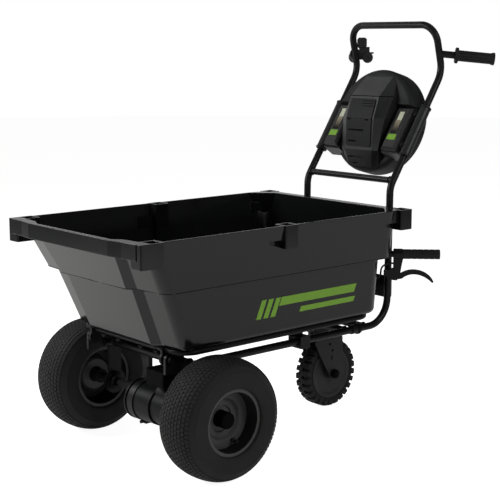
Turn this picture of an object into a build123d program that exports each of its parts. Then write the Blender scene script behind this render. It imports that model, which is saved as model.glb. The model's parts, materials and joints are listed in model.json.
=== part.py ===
"""Electric garden cart: a tipping tub on a tube frame, two driven wheels and one swivel caster.

Frame: millimetres, X to the operator's left, Y to the rear, Z up, origin on the ground at the
middle of the overall length. Every node is written to parts/ as one STEP file.
"""
from math import atan2, cos, degrees, hypot, radians, sin, tan
import os

from build123d import *

# Driving dimensions of the wheels
tyre_diameter = 305.0
tyre_width = 130.0
rim_flange_diameter = 170.0
bead_seat_diameter = 158.0
wheel_track = 542.0
wheelbase = 628.0
caster_diameter = 198.0
caster_width = 50.0
caster_trail = 30.0
shaft_diameter = 20.0

# Driving dimensions of the tub
tub_wall = 4.0
floor_height = 317.0
step_height = 472.0
skirt_height = 563.0
rim_height = 601.0
floor_half_width = 232.0
ledge_half_width = 245.0
upper_half_width = 261.0
rim_half_width = 280.0
floor_front = 94.0
ledge_front = 159.0
upper_front = 174.0
rim_front = 240.0
lip_front = 247.0
lower_rear = 606.0
upper_rear = 632.0
lip_rear = 655.0
stake_pocket = (34.0, 34.0)

# Driving dimensions of the frame and handle
tube_diameter = 20.0
rail_spacing = 330.0
rail_height = 262.5
collar_reach = 585.0
post_reach = 709.0
post_foot_reach = 705.0
low_bend_height = 646.0
high_bend_reach = 918.0
top_bar_height = 1092.0
loop_height = 131.0
loop_lean = 34.0
crossbar_rise = 18.0
grip_rise = 50.0
grip_reach = 156.0
grip_splay = 45.0
grip_slope = 5.5
pivot_forward = 70.0
pivot_height = 288.0

# Driving dimensions of the battery housing
shell_diameter = 304.0
shell_depth = 74.0
shell_lean = 15.0
shell_along = 211.02
shell_out = -19.62
pack_width = 54.0
pack_height = 136.0
pack_depth = 58.0

# Clearances
running_clearance = 0.05
moving_gap = 0.4
rest_gap = 0.3
sliding_clearance = 0.3

# Values worked out from the driving dimensions
front_reach = lip_front
rear_reach = 1026.5
axle_y = (front_reach - rear_reach) / 2
axle_z = tyre_diameter / 2
rail_x = rail_spacing / 2
tube_radius = tube_diameter / 2
shaft_radius = shaft_diameter / 2
post_y = axle_y + post_reach
collar_y = axle_y + collar_reach
pivot_y = axle_y - pivot_forward
caster_axle_y = axle_y + wheelbase
caster_axle_z = caster_diameter / 2
swivel_y = caster_axle_y - caster_trail
high_bend_height = top_bar_height - loop_height
top_bar_reach = high_bend_reach - loop_lean
crossbar_height = low_bend_height + crossbar_rise
grip_root_height = high_bend_height + grip_rise
lean_rise = high_bend_height - low_bend_height
lean_run = high_bend_reach - post_reach
lean_angle = degrees(atan2(lean_run, lean_rise))
lean_length = hypot(lean_run, lean_rise)

# The leaning tubes' own plane: its x is the cart's X, its y runs up the tubes, its z faces forward
lean_plane = Plane(
    origin=(0, post_y, low_bend_height),
    x_dir=(1, 0, 0),
    z_dir=(0, -cos(radians(lean_angle)), sin(radians(lean_angle))),
)
shell_centre = lean_plane.from_local_coords(Vector(0, shell_along, shell_out))
shell_plane = Plane(
    origin=shell_centre,
    x_dir=(1, 0, 0),
    z_dir=(0, -cos(radians(shell_lean)), sin(radians(shell_lean))),
)

nodes = {}


def keep(name, *shapes):
    """Store one node, made of one solid or of several separate ones."""
    solids = [solid for shape in shapes for solid in shape.solids()]
    nodes[name] = solids[0] if len(solids) == 1 else Compound(children=solids)


def block(x_span, y_span, z_span):
    """Box between pairs of limits."""
    spans = (x_span, y_span, z_span)
    centre = [(low + high) / 2 for low, high in spans]
    size = [high - low for low, high in spans]
    return Pos(*centre) * Box(*size)


def rod(start, end, radius):
    """Round bar between two points."""
    run = Vector(*end) - Vector(*start)
    base = Plane(origin=start, z_dir=run)
    return base * Cylinder(radius, run.length, align=(Align.CENTER, Align.CENTER, Align.MIN))


def cross_rod(x_span, y, z, radius):
    """Round bar lying along X."""
    return rod((x_span[0], y, z), (x_span[1], y, z), radius)


def filled(points):
    """Flat face inside straight edges between points."""
    return make_face(Polyline(*points, close=True).edges())


def bent_path(points, radii):
    """Straight runs joined by tangent arcs, one radius for each inner corner."""
    corners = [Vector(*point) for point in points]
    edges = []
    start = corners[0]
    for before, corner, after, radius in zip(corners, corners[1:], corners[2:], radii):
        inward = (before - corner).normalized()
        outward = (after - corner).normalized()
        half = radians(inward.get_angle(outward) / 2)
        enter = corner + inward * (radius / tan(half))
        leave = corner + outward * (radius / tan(half))
        middle = corner + (inward + outward).normalized() * (radius / sin(half) - radius)
        edges.append(Line(start, enter).edge())
        edges.append(ThreePointArc(enter, middle, leave).edge())
        start = leave
    edges.append(Line(start, corners[-1]).edge())
    return Wire(edges)


def pipe(path, radius):
    """Round section swept along a path."""
    section = Plane(origin=path @ 0, z_dir=path % 0) * Circle(radius)
    return sweep(section, path=path, transition=Transition.ROUND)


def turned(outline):
    """Solid of revolution about Z from a closed outline of (radius, height) curves."""
    face = Plane.XZ * make_face(outline)
    return revolve(face, Axis.Z)


def both_sides(shape):
    """A shape with its mirror image in the cart's middle plane."""
    return [shape, mirror(shape, Plane.YZ)]


# Tub: a stepped, tapering shell with a raised front panel and a skirted lip
panel_depth = 18.0
panel_facet = 20.0
corner_sweep = 9.0
front_corner_radius = 30.0
rear_corner_radius = 45.0
floor_edge_radius = 16.0


def tub_section(height, half_width, front, rear, panel_half, inset):
    """Plan outline of the tub at one height, drawn a wall's thickness in when asked."""
    side = half_width - inset
    nose = axle_y - front + inset
    shoulder = nose + panel_depth
    back = axle_y + rear - inset
    right = [
        (panel_half, nose),
        (panel_half + panel_facet, shoulder),
        (side, shoulder + corner_sweep),
        (side, back),
    ]
    left = [(-x, y) for x, y in reversed(right)]
    face = filled(right + left)
    outer = [vertex for vertex in face.vertices() if abs(abs(vertex.X) - side) < 0.01]
    face = fillet([vertex for vertex in outer if vertex.Y < 0], front_corner_radius - inset)
    outer = [vertex for vertex in face.vertices() if vertex.Y > back - 1]
    face = fillet(outer, rear_corner_radius - inset)
    return Pos(0, 0, height) * face


def tub_body(inset, ledge_rise, floor_rise, top_rise):
    """Lower and upper halves of the tub's form, meeting at the step."""
    low = loft([
        tub_section(floor_height + floor_rise, floor_half_width, floor_front, lower_rear, 129, inset),
        tub_section(step_height + ledge_rise, ledge_half_width, ledge_front, lower_rear, 140, inset),
    ], ruled=True)
    high = loft([
        tub_section(step_height + ledge_rise, upper_half_width, upper_front, upper_rear, 138, inset),
        tub_section(rim_height + top_rise, rim_half_width, rim_front, upper_rear, 168, inset),
    ], ruled=True)
    return low, high


def lip_outline(inset):
    """Plan outline of the tub's lip: it stands out in front and behind, and ends in the side walls."""
    nose = axle_y - lip_front + inset
    tail = axle_y + lip_rear - inset
    taper = (skirt_height - step_height) / (rim_height - step_height)
    flush = upper_half_width + (rim_half_width - upper_half_width) * taper - tub_wall / 10
    side = flush - inset
    right = [
        (172 - inset / 2, nose),
        (215 - inset / 2, nose + 7),
        (side - 6, nose + 9),
        (side, nose + 30),
        (side, tail - 22),
        (side - 22, tail),
    ]
    left = [(-x, y) for x, y in reversed(right)]
    return filled(right + left)


# Stake pockets in the rim: the hole's middle, the block's front and rear ends and its foot
pocket_face = rim_half_width + 5.0
pocket_inner = pocket_face - stake_pocket[1] - 2 * tub_wall
pocket_places = [
    (axle_y - 190.0, axle_y - 236.0, axle_y - 168.0, rim_height - 58.0),
    (axle_y + 226.0, axle_y + 204.0, axle_y + 248.0, rim_height - 58.0),
    (axle_y + 646.0, axle_y + 624.0, axle_y + 668.0, rim_height - 54.0),
]

# Rope notches ahead of the middle and rear pockets: length, then depths below the rim at both ends
rope_notches = [
    (pocket_places[1][1], 44.0, (35.0, 42.0), (37.0, 57.0)),
    (pocket_places[2][1], 46.0, (33.0, 41.0), (35.0, 50.0)),
]
notch_floor = rim_half_width - 18.0


def pocket_block(front, rear, foot):
    """Outer form of one stake pocket on the left side."""
    boss = block((pocket_inner, pocket_face), (front, rear), (foot, rim_height))
    return fillet(boss.edges().filter_by(Axis.Z), tub_wall)


def make_stake_pockets():
    """Six square pockets for stakes, closed below, set into the rim."""
    pockets = []
    for middle, front, rear, foot in pocket_places:
        hole = block(
            (pocket_inner + tub_wall, pocket_face - tub_wall),
            (middle - stake_pocket[0] / 2, middle + stake_pocket[0] / 2),
            (foot + tub_wall, rim_height + 1),
        )
        pockets += both_sides(pocket_block(front, rear, foot) - hole)
    return pockets


def notch_shapes(end, length, start_depths, end_depths):
    """One rope notch: the backing inside the wall and the wedge cut from outside."""
    start = end - length
    outline = [
        (start, rim_height - start_depths[1]),
        (start, rim_height - start_depths[0]),
        (end, rim_height - end_depths[0]),
        (end, rim_height - end_depths[1]),
    ]
    height = (rim_height - end_depths[1] - tub_wall, rim_height - start_depths[0] + tub_wall)
    backing = block((notch_floor - tub_wall, rim_half_width), (start - tub_wall, end), height)
    wedge = extrude(Plane.YZ.offset(notch_floor) * filled(outline), rim_half_width - notch_floor + 5)
    return backing, wedge


def make_gusset():
    """Tapering web in a rear corner of the tub, under the stake pocket."""
    side = rim_half_width - 2
    back = axle_y + upper_rear - 2
    sections = []
    for height, width in ((rim_height - 80, 30), (rim_height, 62)):
        web = [(side, back), (side, back - width), (side - width, back)]
        sections.append(Pos(0, 0, height) * filled(web))
    return loft(sections, ruled=True)


def make_tub():
    """Moulded tub with its lip, rope notches and bolt holes, cut out where the stake pockets sit."""
    low, high = tub_body(0, 0, 0, 0)
    low_inside, high_inside = tub_body(tub_wall, tub_wall, tub_wall, tub_wall)
    edge = low.faces().sort_by(Axis.Z)[0].edges()
    low = fillet(edge, floor_edge_radius)
    lip = extrude(Pos(0, 0, skirt_height) * lip_outline(0), rim_height - skirt_height)
    lip -= extrude(Pos(0, 0, skirt_height) * lip_outline(tub_wall), rim_height - skirt_height - tub_wall)
    tub = low + high + lip
    tub -= [low_inside, high_inside]
    middle, front, rear, foot = pocket_places[1]
    column = block((pocket_inner + tub_wall, rim_half_width), (front + 2, rear - 2), (step_height + 1, foot))
    tub += both_sides(column & high)
    tub += both_sides(make_gusset() & high)
    for notch in rope_notches:
        backing, wedge = notch_shapes(*notch)
        tub += both_sides(backing & high)
        tub -= both_sides(wedge)
    for middle, front, rear, foot in pocket_places:
        tub -= both_sides(pocket_block(front, rear, foot))
    for x, y in tub_bolt_places:
        tub -= rod((x, y, floor_height - 1), (x, y, floor_height + 9), bolt_radius)
        tub -= Pos(x, y, floor_height + tub_wall) * bolt_head()
    return tub


# Cradle under the tub, with the hinge lugs and the bolts through the tub's floor
cradle_radius = 7.0
ring_radius = 7.5
cradle_z = floor_height - cradle_radius - 0.5
cradle_x = 146.0
cradle_front = axle_y - 66.0
cradle_rear = axle_y + 585.0
cradle_half = 215.0
cradle_bend = 46.0
tab_thickness = 5.0
bolt_radius = 4.0
head_radius = 7.6
lug_thickness = 8.0
lug_radius = 17.0
pin_radius = 8.0
tub_bolt_places = [(side * 118, axle_y + reach) for side in (-1, 1) for reach in (20, 270, 520)]


def make_cradle():
    """Bent ring and two bars that carry the tub, with lugs reaching down to the tipping pivot."""
    ring_z = floor_height - ring_radius - 0.2
    corners = [
        (0, cradle_front, ring_z),
        (cradle_half, cradle_front, ring_z),
        (cradle_half, cradle_rear, ring_z),
        (0, cradle_rear, ring_z),
    ]
    half_ring = pipe(bent_path(corners, [cradle_bend, cradle_bend]), ring_radius)
    cradle = half_ring + mirror(half_ring, Plane.YZ)
    for side in (-1, 1):
        x = side * cradle_x
        cradle += rod((x, cradle_front, cradle_z), (x, cradle_rear, cradle_z), cradle_radius)
        lug_x = side * (rail_x - lug_thickness - 6)
        span = (lug_x - lug_thickness / 2, lug_x + lug_thickness / 2)
        cradle += cross_rod(span, pivot_y, pivot_height, lug_radius)
        cradle += block(span, (pivot_y - 12, pivot_y + 30), (pivot_height, cradle_z + 3))
        pin_ends = sorted((lug_x, side * (rail_x + 13)))
        cradle += cross_rod(pin_ends, pivot_y, pivot_height, pin_radius)
    for x, y in tub_bolt_places:
        side = 1 if x > 0 else -1
        across = sorted((x - side * 14, side * (cradle_x + 2)))
        cradle += block(across, (y - 16, y + 16), (floor_height - tab_thickness, floor_height))
    for x, y in tub_bolt_places:
        cradle -= rod((x, y, floor_height - 20), (x, y, floor_height + 1), bolt_radius)
    return cradle


def bolt_head():
    """Countersunk bolt head with its flat face at the origin, pointing up."""
    depth = head_radius - bolt_radius
    return Cone(bolt_radius, head_radius, depth, align=(Align.CENTER, Align.CENTER, Align.MAX))


def make_tub_bolts():
    """Bolts with countersunk heads flush with the tub's floor and hex nuts below."""
    bolts = []
    inside = floor_height + tub_wall
    for x, y in tub_bolt_places:
        head = Pos(x, y, inside) * bolt_head()
        bolt = rod((x, y, floor_height - tab_thickness - 10), (x, y, inside - 1), bolt_radius)
        nut = extrude(Pos(x, y, floor_height - tab_thickness - 6.5) * RegularPolygon(7.5, 6), 6.5)
        bolts.append(bolt + head + nut)
    return bolts


# Frame: two rails, cross-members, axle legs and the hinge plates at the rails' front ends
hinge_plate = 8.0
hinge_plate_radius = 13.5
rest_y = axle_y + 371.0
rest_length = 34.0
rail_front = axle_y - 34.0


def make_rail(side):
    """One side rail with its hinge plate."""
    x = side * rail_x
    rail = rod((x, rail_front, rail_height), (x, collar_y, rail_height), tube_radius)
    span = (x - hinge_plate / 2, x + hinge_plate / 2)
    foot = rail_height - tube_radius
    plate = block(span, (pivot_y, rail_front + 8), (foot, pivot_height + hinge_plate_radius))
    plate += block(span, (pivot_y - hinge_plate_radius, pivot_y), (foot, pivot_height))
    plate += cross_rod(span, pivot_y, pivot_height, hinge_plate_radius)
    bore = cross_rod((x - 20, x + 20), pivot_y, pivot_height, pin_radius + running_clearance)
    return rail + plate - bore


def rail_cut():
    """Both rails' round outside, to shape what is welded against them."""
    cut = []
    for side in (-1, 1):
        x = side * rail_x
        cut.append(rod((x, rail_front, rail_height), (x, collar_y + 60, rail_height), tube_radius))
    return cut


def make_cross_tube(y, radius):
    """Round cross-member with its ends shaped to the rails."""
    half = rail_x - hinge_plate / 2
    return cross_rod((-half, half), y, rail_height, radius) - rail_cut()


def make_rest_bracket(side):
    """Folded block round a rail that carries one of the tub's rests."""
    half = rest_length / 2
    across = sorted((side * (rail_x + 17), side * (cradle_x - 12)))
    bracket = block(across, (rest_y - half, rest_y + half), (rail_height - 18, rail_height + 16))
    bracket = fillet(bracket.edges().filter_by(Axis.X), 4)
    return bracket - rail_cut()


rest_top = cradle_z - cradle_radius - rest_gap


def make_rests():
    """Rubber rests between the rest brackets and the cradle's bars."""
    rests = []
    for side in (-1, 1):
        x = side * cradle_x
        rest = block((x - 11, x + 11), (rest_y - 14, rest_y + 14), (rail_height + 16, rest_top))
        rests.append(chamfer(rest.edges().sort_by(Axis.Z)[-4:], 3))
    return rests


leg_thickness = 8.0
leg_width = 38.0
bearing_radius = 27.0
bearing_length = 16.0


def make_axle_leg(side):
    """Plate from a rail down to the drive axle, with a round foot."""
    x = side * rail_x
    span = (x - leg_thickness / 2, x + leg_thickness / 2)
    leg = block(span, (axle_y - leg_width / 2, axle_y + leg_width / 2), (axle_z, rail_height - 4))
    leg += cross_rod(span, axle_y, axle_z, bearing_radius + 5)
    leg -= cross_rod((x - 20, x + 20), axle_y, axle_z, shaft_radius + 1.5)
    return leg - rail_cut()


def make_axle_bearing(side):
    """Flanged bearing on the inside of an axle leg."""
    inner = side * (rail_x - leg_thickness / 2 - bearing_length)
    outer = side * (rail_x - leg_thickness / 2)
    flange = side * (rail_x - leg_thickness / 2 - 5)
    bearing = cross_rod((inner, outer), axle_y, axle_z, bearing_radius - 7)
    bearing += cross_rod((flange, outer), axle_y, axle_z, bearing_radius)
    return bearing - shaft_bore()


# Drive unit between the front wheels
case_radius = 51.0
case_y = axle_y - 8.0
case_z = 136.0
case_left = 62.0
case_right = -42.0
band_centre = -14.0
gear_span = (62.0, 108.0)


def shaft_bore():
    """Running bore for the half shafts."""
    return cross_rod((-300, 300), axle_y, axle_z, shaft_radius + running_clearance)


def make_motor_case():
    """Round motor case with an end cap."""
    case = cross_rod((case_right + 10, case_left), case_y, case_z, case_radius)
    cap = cross_rod((case_right, case_right + 10), case_y, case_z, case_radius + 3)
    cap = fillet(cap.faces().sort_by(Axis.X)[0].edges(), 4)
    return case + cap - shaft_bore()


def make_gear_case():
    """Gear case beside the motor, taller than it so that it reaches the axle."""
    low = cross_rod(gear_span, case_y, case_z, case_radius - 4)
    high = cross_rod(gear_span, axle_y, axle_z + 8, 40)
    neck = cross_rod((gear_span[1], gear_span[1] + 18), axle_y, axle_z, 22)
    return low + high + neck - shaft_bore()


def make_motor_band():
    """Steel strap round the motor case, with its clamping ears and bolt below."""
    half = 11.0
    across = (band_centre - half, band_centre + half)
    ring = cross_rod(across, case_y, case_z, case_radius + 2.5)
    ear_z = case_z - case_radius - 5
    ears = block(across, (case_y - 10, case_y + 10), (ear_z - 5, case_z - 40))
    bolt = rod((band_centre, case_y - 19, ear_z), (band_centre, case_y + 19, ear_z), 4.5)
    hanger = block(across, (axle_y - 6, axle_y + 6), (case_z + 40, rail_height - 10))
    band = ring + ears + bolt + hanger
    band -= cross_rod((band_centre - 40, band_centre + 40), case_y, case_z, case_radius)
    return band - cross_rod((-200, 200), axle_y, rail_height, front_cross_radius)


front_cross_radius = 13.0
controller_span = ((58.0, 132.0), (axle_y - 62.0, axle_y - 8.0), (205.0, 245.0))


def make_controller():
    """Sealed motor controller with cooling ribs, hung below the front cross-member."""
    box = block(*controller_span)
    box = fillet(box.edges().filter_by(Axis.Z), 6)
    (x_low, x_high), (y_low, y_high), (z_low, z_high) = controller_span
    for step in range(5):
        x = x_low + 11 + step * 12
        box += block((x, x + 4), (y_low + 8, y_high - 8), (z_low - 3, z_low))
    stay = block((x_low + 20, x_high - 20), (y_high, axle_y + 4), (z_high - 6, z_high))
    post = block((x_low + 30, x_high - 30), (axle_y - 4, axle_y + 4), (z_high - 6, rail_height - 5))
    box = box + stay + post
    return box - cross_rod((-200, 200), axle_y, rail_height, front_cross_radius)


# Driven wheels, drawn with Z along the axle and pointing outwards
bead_half = 50.0
flange_half = 54.0
barrel_wall = 5.0
dish_depth = 38.0


def make_tyre():
    """Hollow tyre with rounded shoulders and a low crown."""
    crown = tyre_diameter / 2
    bulge = tyre_width / 2
    seat = bead_seat_diameter / 2
    toe = bead_half - 1
    heel = bead_half - 10
    shoulder_start = (crown - 12, bulge - 8)
    shoulder_end = (crown - 1.5, bulge - 24)
    liner_end = (crown - 12, bulge - 24)
    half = [
        ThreePointArc((crown - 1.5, bulge - 24), (crown - 4.5, bulge - 14), shoulder_start),
        ThreePointArc(shoulder_start, (crown - 38, bulge), (seat + 6, toe)),
        Polyline((seat + 6, toe), (seat, toe), (seat, heel), (seat + 9, heel)),
        ThreePointArc((seat + 9, heel), (crown - 38, bulge - 9), liner_end),
    ]
    tread = ThreePointArc(shoulder_end, (crown, 0), (shoulder_end[0], -shoulder_end[1]))
    liner = ThreePointArc(liner_end, (crown - 10, 0), (liner_end[0], -liner_end[1]))
    outline = half + [mirror(curve, Plane.XZ) for curve in half] + [tread, liner]
    return turned([edge for curve in outline for edge in curve.edges()])


def make_rim():
    """Deep-dished steel rim with rolled flanges and a stepped disc."""
    seat = bead_seat_diameter / 2
    flange = rim_flange_diameter / 2
    inner = seat - barrel_wall
    face = flange_half - dish_depth
    profile = [
        (inner, -flange_half), (flange, -flange_half), (flange, -bead_half), (seat, -bead_half),
        (seat, bead_half), (flange, bead_half), (flange, flange_half), (inner, flange_half),
        (inner, face), (52, face), (45, face - 10), (33, face - 10),
        (33, face - 14), (47, face - 14), (54, face - 4), (inner, face - 4),
    ]
    rim = turned(Polyline(*profile, close=True).edges())
    rolled = [edge for edge in rim.edges().filter_by(GeomType.CIRCLE) if abs(edge.radius - flange) < 0.01]
    rim = fillet(rolled, 1.6)
    return rim - valve_place * Cylinder(4, 80)


valve_radius = 62.0
valve_angle = radians(25.0)
valve_place = Pos(valve_radius * cos(valve_angle), valve_radius * sin(valve_angle), 0)


def make_valve():
    """Rubber valve stem with its cap."""
    face = flange_half - dish_depth
    profile = [(0, -14), (4, -14), (4, 3), (5.5, 3), (5.5, 7), (3.4, 9), (3.4, 20), (0, 20)]
    stem = turned(Polyline(*profile, close=True).edges())
    return valve_place * Pos(0, 0, face) * stem


def make_hub():
    """Hub behind the disc with the half shaft, its washer and its nut."""
    face = flange_half - dish_depth - 14
    inner_end = -(wheel_track / 2 - 8)
    hub = rod((0, 0, face - 18), (0, 0, face), 46)
    hub = chamfer(hub.edges().sort_by(Axis.Z)[0], 5)
    hub += rod((0, 0, face - 46), (0, 0, face - 16), 19)
    hub += rod((0, 0, inner_end), (0, 0, face + 12), shaft_radius)
    hub += rod((0, 0, face), (0, 0, face + 3), 19)
    return hub + extrude(Pos(0, 0, face + 3) * RegularPolygon(15, 6), 8)


def at_wheel(side, shape):
    """A wheel piece set on its axle, its outer face away from the cart."""
    return Pos(side * wheel_track / 2, axle_y, axle_z) * Rotation(0, 90 * side, 0) * shape


# Swivel caster behind the tub
fork_gap = 31.0
fork_sheet = 4.0
fork_top = 208.0
pedestal_foot = 220.0
plate_top = rail_height - tube_radius
swivel_radius = 30.0
kingpin_radius = 8.0


def make_fork():
    """Pressed fork: a round swivel head and two tapering legs."""
    head = rod((0, swivel_y, fork_top), (0, swivel_y, pedestal_foot - moving_gap), swivel_radius)
    head += rod((0, swivel_y, fork_top), (0, swivel_y, plate_top - 2), kingpin_radius)
    leg_front = swivel_y - 46
    leg_rear = swivel_y + 64
    legs = [
        (leg_front, fork_top),
        (leg_rear, fork_top),
        (leg_rear, fork_top - 46),
        (caster_axle_y + 18, caster_axle_z),
        (caster_axle_y + 6, caster_axle_z - 17),
        (caster_axle_y - 12, caster_axle_z - 14),
        (leg_front + 16, fork_top - 40),
    ]
    leg = extrude(Plane.YZ.offset(fork_gap) * filled(legs), fork_sheet)
    leg = fillet(leg.edges().filter_by(Axis.X), 7)
    for reach, height, radius in ((12, 189, 4), (23, 169.5, 4)):
        leg -= cross_rod((0, 80), swivel_y + reach, height, radius)
    slot = block((0, 80), (swivel_y + 18, swivel_y + 23), (141, 155))
    leg -= fillet(slot.edges().filter_by(Axis.X), 2)
    bridge = block((-fork_gap, fork_gap), (leg_front + 7, leg_rear - 7), (fork_top - 5, fork_top))
    fork = head + bridge
    for piece in both_sides(leg):
        fork += piece
    return fork - cross_rod((-80, 80), caster_axle_y, caster_axle_z, caster_bolt_radius)


caster_bolt_radius = 6.0
lug_count = 26
lug_depth = 5.0
lug_gap = 8.0


def make_caster_bolt():
    """Axle bolt through the fork, with its head and nut."""
    end = fork_gap + fork_sheet
    bolt = cross_rod((-end - 3, end + 3), caster_axle_y, caster_axle_z, caster_bolt_radius)
    hexagon = Pos(caster_axle_y, caster_axle_z) * RegularPolygon(11, 6)
    for side in (-1, 1):
        bolt += extrude(Plane.YZ.offset(side * end) * hexagon, side * 7)
    return bolt


def make_caster_tyre():
    """Solid tyre of the caster with cross lugs."""
    crown = caster_diameter / 2
    half = caster_width / 2
    profile = [(74, -half + 2), (crown - 10, -half), (crown - 1, -half + 7), (crown, -half + 12)]
    outline = Polyline(*profile, *[(r, -z) for r, z in reversed(profile)], close=True)
    tyre = turned(outline.edges())
    groove = block((crown - lug_depth, crown + 5), (-lug_gap / 2, lug_gap / 2), (-half - 1, half + 1))
    pitch = 360 / lug_count
    tyre -= [Rotation(0, 0, pitch * (step + 0.5)) * groove for step in range(lug_count)]
    return Pos(0, caster_axle_y, caster_axle_z) * Rotation(0, 90, 0) * tyre


def make_caster_hub():
    """Dished plastic wheel disc with a central boss that runs on the axle bolt."""
    half = caster_width / 2 - 2
    bore = caster_bolt_radius + running_clearance
    boss = fork_gap - moving_gap
    profile = [
        (bore, -boss), (15, -boss), (17, -half + 6), (58, -half + 3), (66, -half), (74, -half),
        (74, half), (66, half), (58, half - 3), (17, half - 6), (15, boss), (bore, boss),
    ]
    hub = turned(Polyline(*profile, close=True).edges())
    return Pos(0, caster_axle_y, caster_axle_z) * Rotation(0, 90, 0) * hub


def make_caster_mount():
    """Plate under the rear cross-members with the swivel's bearing pedestal."""
    plate = block((-55, 55), (swivel_y - 66, swivel_y + 42), (plate_top - 6, plate_top))
    plate = fillet(plate.edges().filter_by(Axis.Z), 8)
    pedestal = rod((0, swivel_y, pedestal_foot), (0, swivel_y, plate_top - 6), 34)
    pedestal = chamfer(pedestal.edges().sort_by(Axis.Z)[0], 3)
    bore_radius = kingpin_radius + running_clearance
    bore = rod((0, swivel_y, pedestal_foot - 5), (0, swivel_y, plate_top + 5), bore_radius)
    return plate + pedestal - bore


# Handle: one bent tube from rail to rail, its crossbar and the stubs for the grips
def side_points(side):
    """Corner points of one side of the handle, from the rail upwards."""
    return [
        (side * rail_x, collar_y, rail_height),
        (side * rail_x, axle_y + post_foot_reach, rail_height),
        (side * rail_x, post_y, low_bend_height),
        (side * rail_x, axle_y + high_bend_reach, high_bend_height),
        (side * rail_x, axle_y + top_bar_reach, top_bar_height),
    ]


grip_root_y = axle_y + high_bend_reach - 13.0
grip_stub = 44.0
grip_radius = 15.5
grip_flanges = {1: 22.5, -1: 16.5}


def grip_plane(side, reach):
    """Plane across a grip stub at a distance from its root, its z pointing outwards along the stub."""
    splay = radians(grip_splay)
    slope = radians(grip_slope)
    along = Vector(side * cos(splay) * cos(slope), sin(splay) * cos(slope), -sin(slope))
    root = Vector(side * rail_x, grip_root_y, grip_root_height)
    return Plane(origin=root + along * reach, x_dir=(-side * sin(splay), cos(splay), 0), z_dir=along)


def make_handle():
    """The bent handle tube with its welded crossbar and grip stubs."""
    left = side_points(1)
    right = side_points(-1)
    path = bent_path(right + left[::-1], [72, 60, 70, 50, 50, 70, 60, 72])
    handle = pipe(path, tube_radius)
    crossbar_y = post_y + (crossbar_height - low_bend_height) * tan(radians(lean_angle)) - 2
    handle += cross_rod((-rail_x, rail_x), crossbar_y, crossbar_height, tube_radius - 1)
    for side in (-1, 1):
        handle += grip_plane(side, 0) * rod((0, 0, 0), (0, 0, grip_reach - 4), tube_radius)
    return handle


def make_collar(side):
    """Sleeve over the joint between rail and handle, with a raised rear ring."""
    x = side * rail_x
    collar = rod((x, collar_y - 26, rail_height), (x, collar_y + 10, rail_height), tube_radius + 2.5)
    collar += rod((x, collar_y - 3, rail_height), (x, collar_y + 3, rail_height), tube_radius + 5.5)
    return collar - rod((x, collar_y - 60, rail_height), (x, collar_y + 60, rail_height), tube_radius)


def make_grip(side, flange):
    """Soft grip with a flange at its root and a flared end, closed at its tip."""
    length = grip_reach - grip_stub
    profile = [
        (0, length),
        (grip_radius + 1.0, length),
        (grip_radius + 2.5, length - 4),
        (grip_radius, length - 12),
        (grip_radius - 1.5, length / 2),
        (grip_radius, 8),
        (flange, 5),
        (flange, 0),
        (tube_radius, 0),
        (tube_radius, length - 4),
        (0, length - 4),
    ]
    return grip_plane(side, grip_stub) * turned(Polyline(*profile, close=True).edges())


# Rear brace between the posts, with the keeper slot for the tub's latch
brace_y = axle_y + post_foot_reach + tube_radius + 1.5
brace_span = (330.0, 392.0)
brace_sheet = 5.0
latch_x = 96.0
latch_z = 362.0
latch_radius = 7.0


def make_brace():
    """Flat plate across the posts, slotted for the latch bolt."""
    through = (brace_y, brace_y + brace_sheet)
    plate = block((-rail_x - 2, rail_x + 2), through, brace_span)
    plate = fillet(plate.edges().filter_by(Axis.Y), 8)
    keeper = block((latch_x - 10, latch_x + 10), through, (latch_z - 9, latch_z + 9))
    return plate - fillet(keeper.edges().filter_by(Axis.Y), 3)


# Release handle on the tub's rear wall, splayed to the left, with its lever, cable and latch
bracket_sheet = 5.0
bracket_y = axle_y + upper_rear
release_x = 178.0
release_z = 469.0
release_plane = Plane(
    origin=(release_x, bracket_y, release_z),
    x_dir=(cos(radians(grip_splay)), sin(radians(grip_splay)), 0),
    z_dir=(sin(radians(grip_splay)), -cos(radians(grip_splay)), 0),
)
release_tube_radius = 9.0
collar_span = (55.0, 79.0)
release_end = 182.0
lever_pivot = (62.0, -64.0)
lever_pin_radius = 3.0
lever_sheet = 9.0
cheek_sheet = 4.0


def along_release(start, end, radius):
    """Round bar along the release handle's own axis."""
    return release_plane * rod((start, 0, 0), (end, 0, 0), radius)


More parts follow.
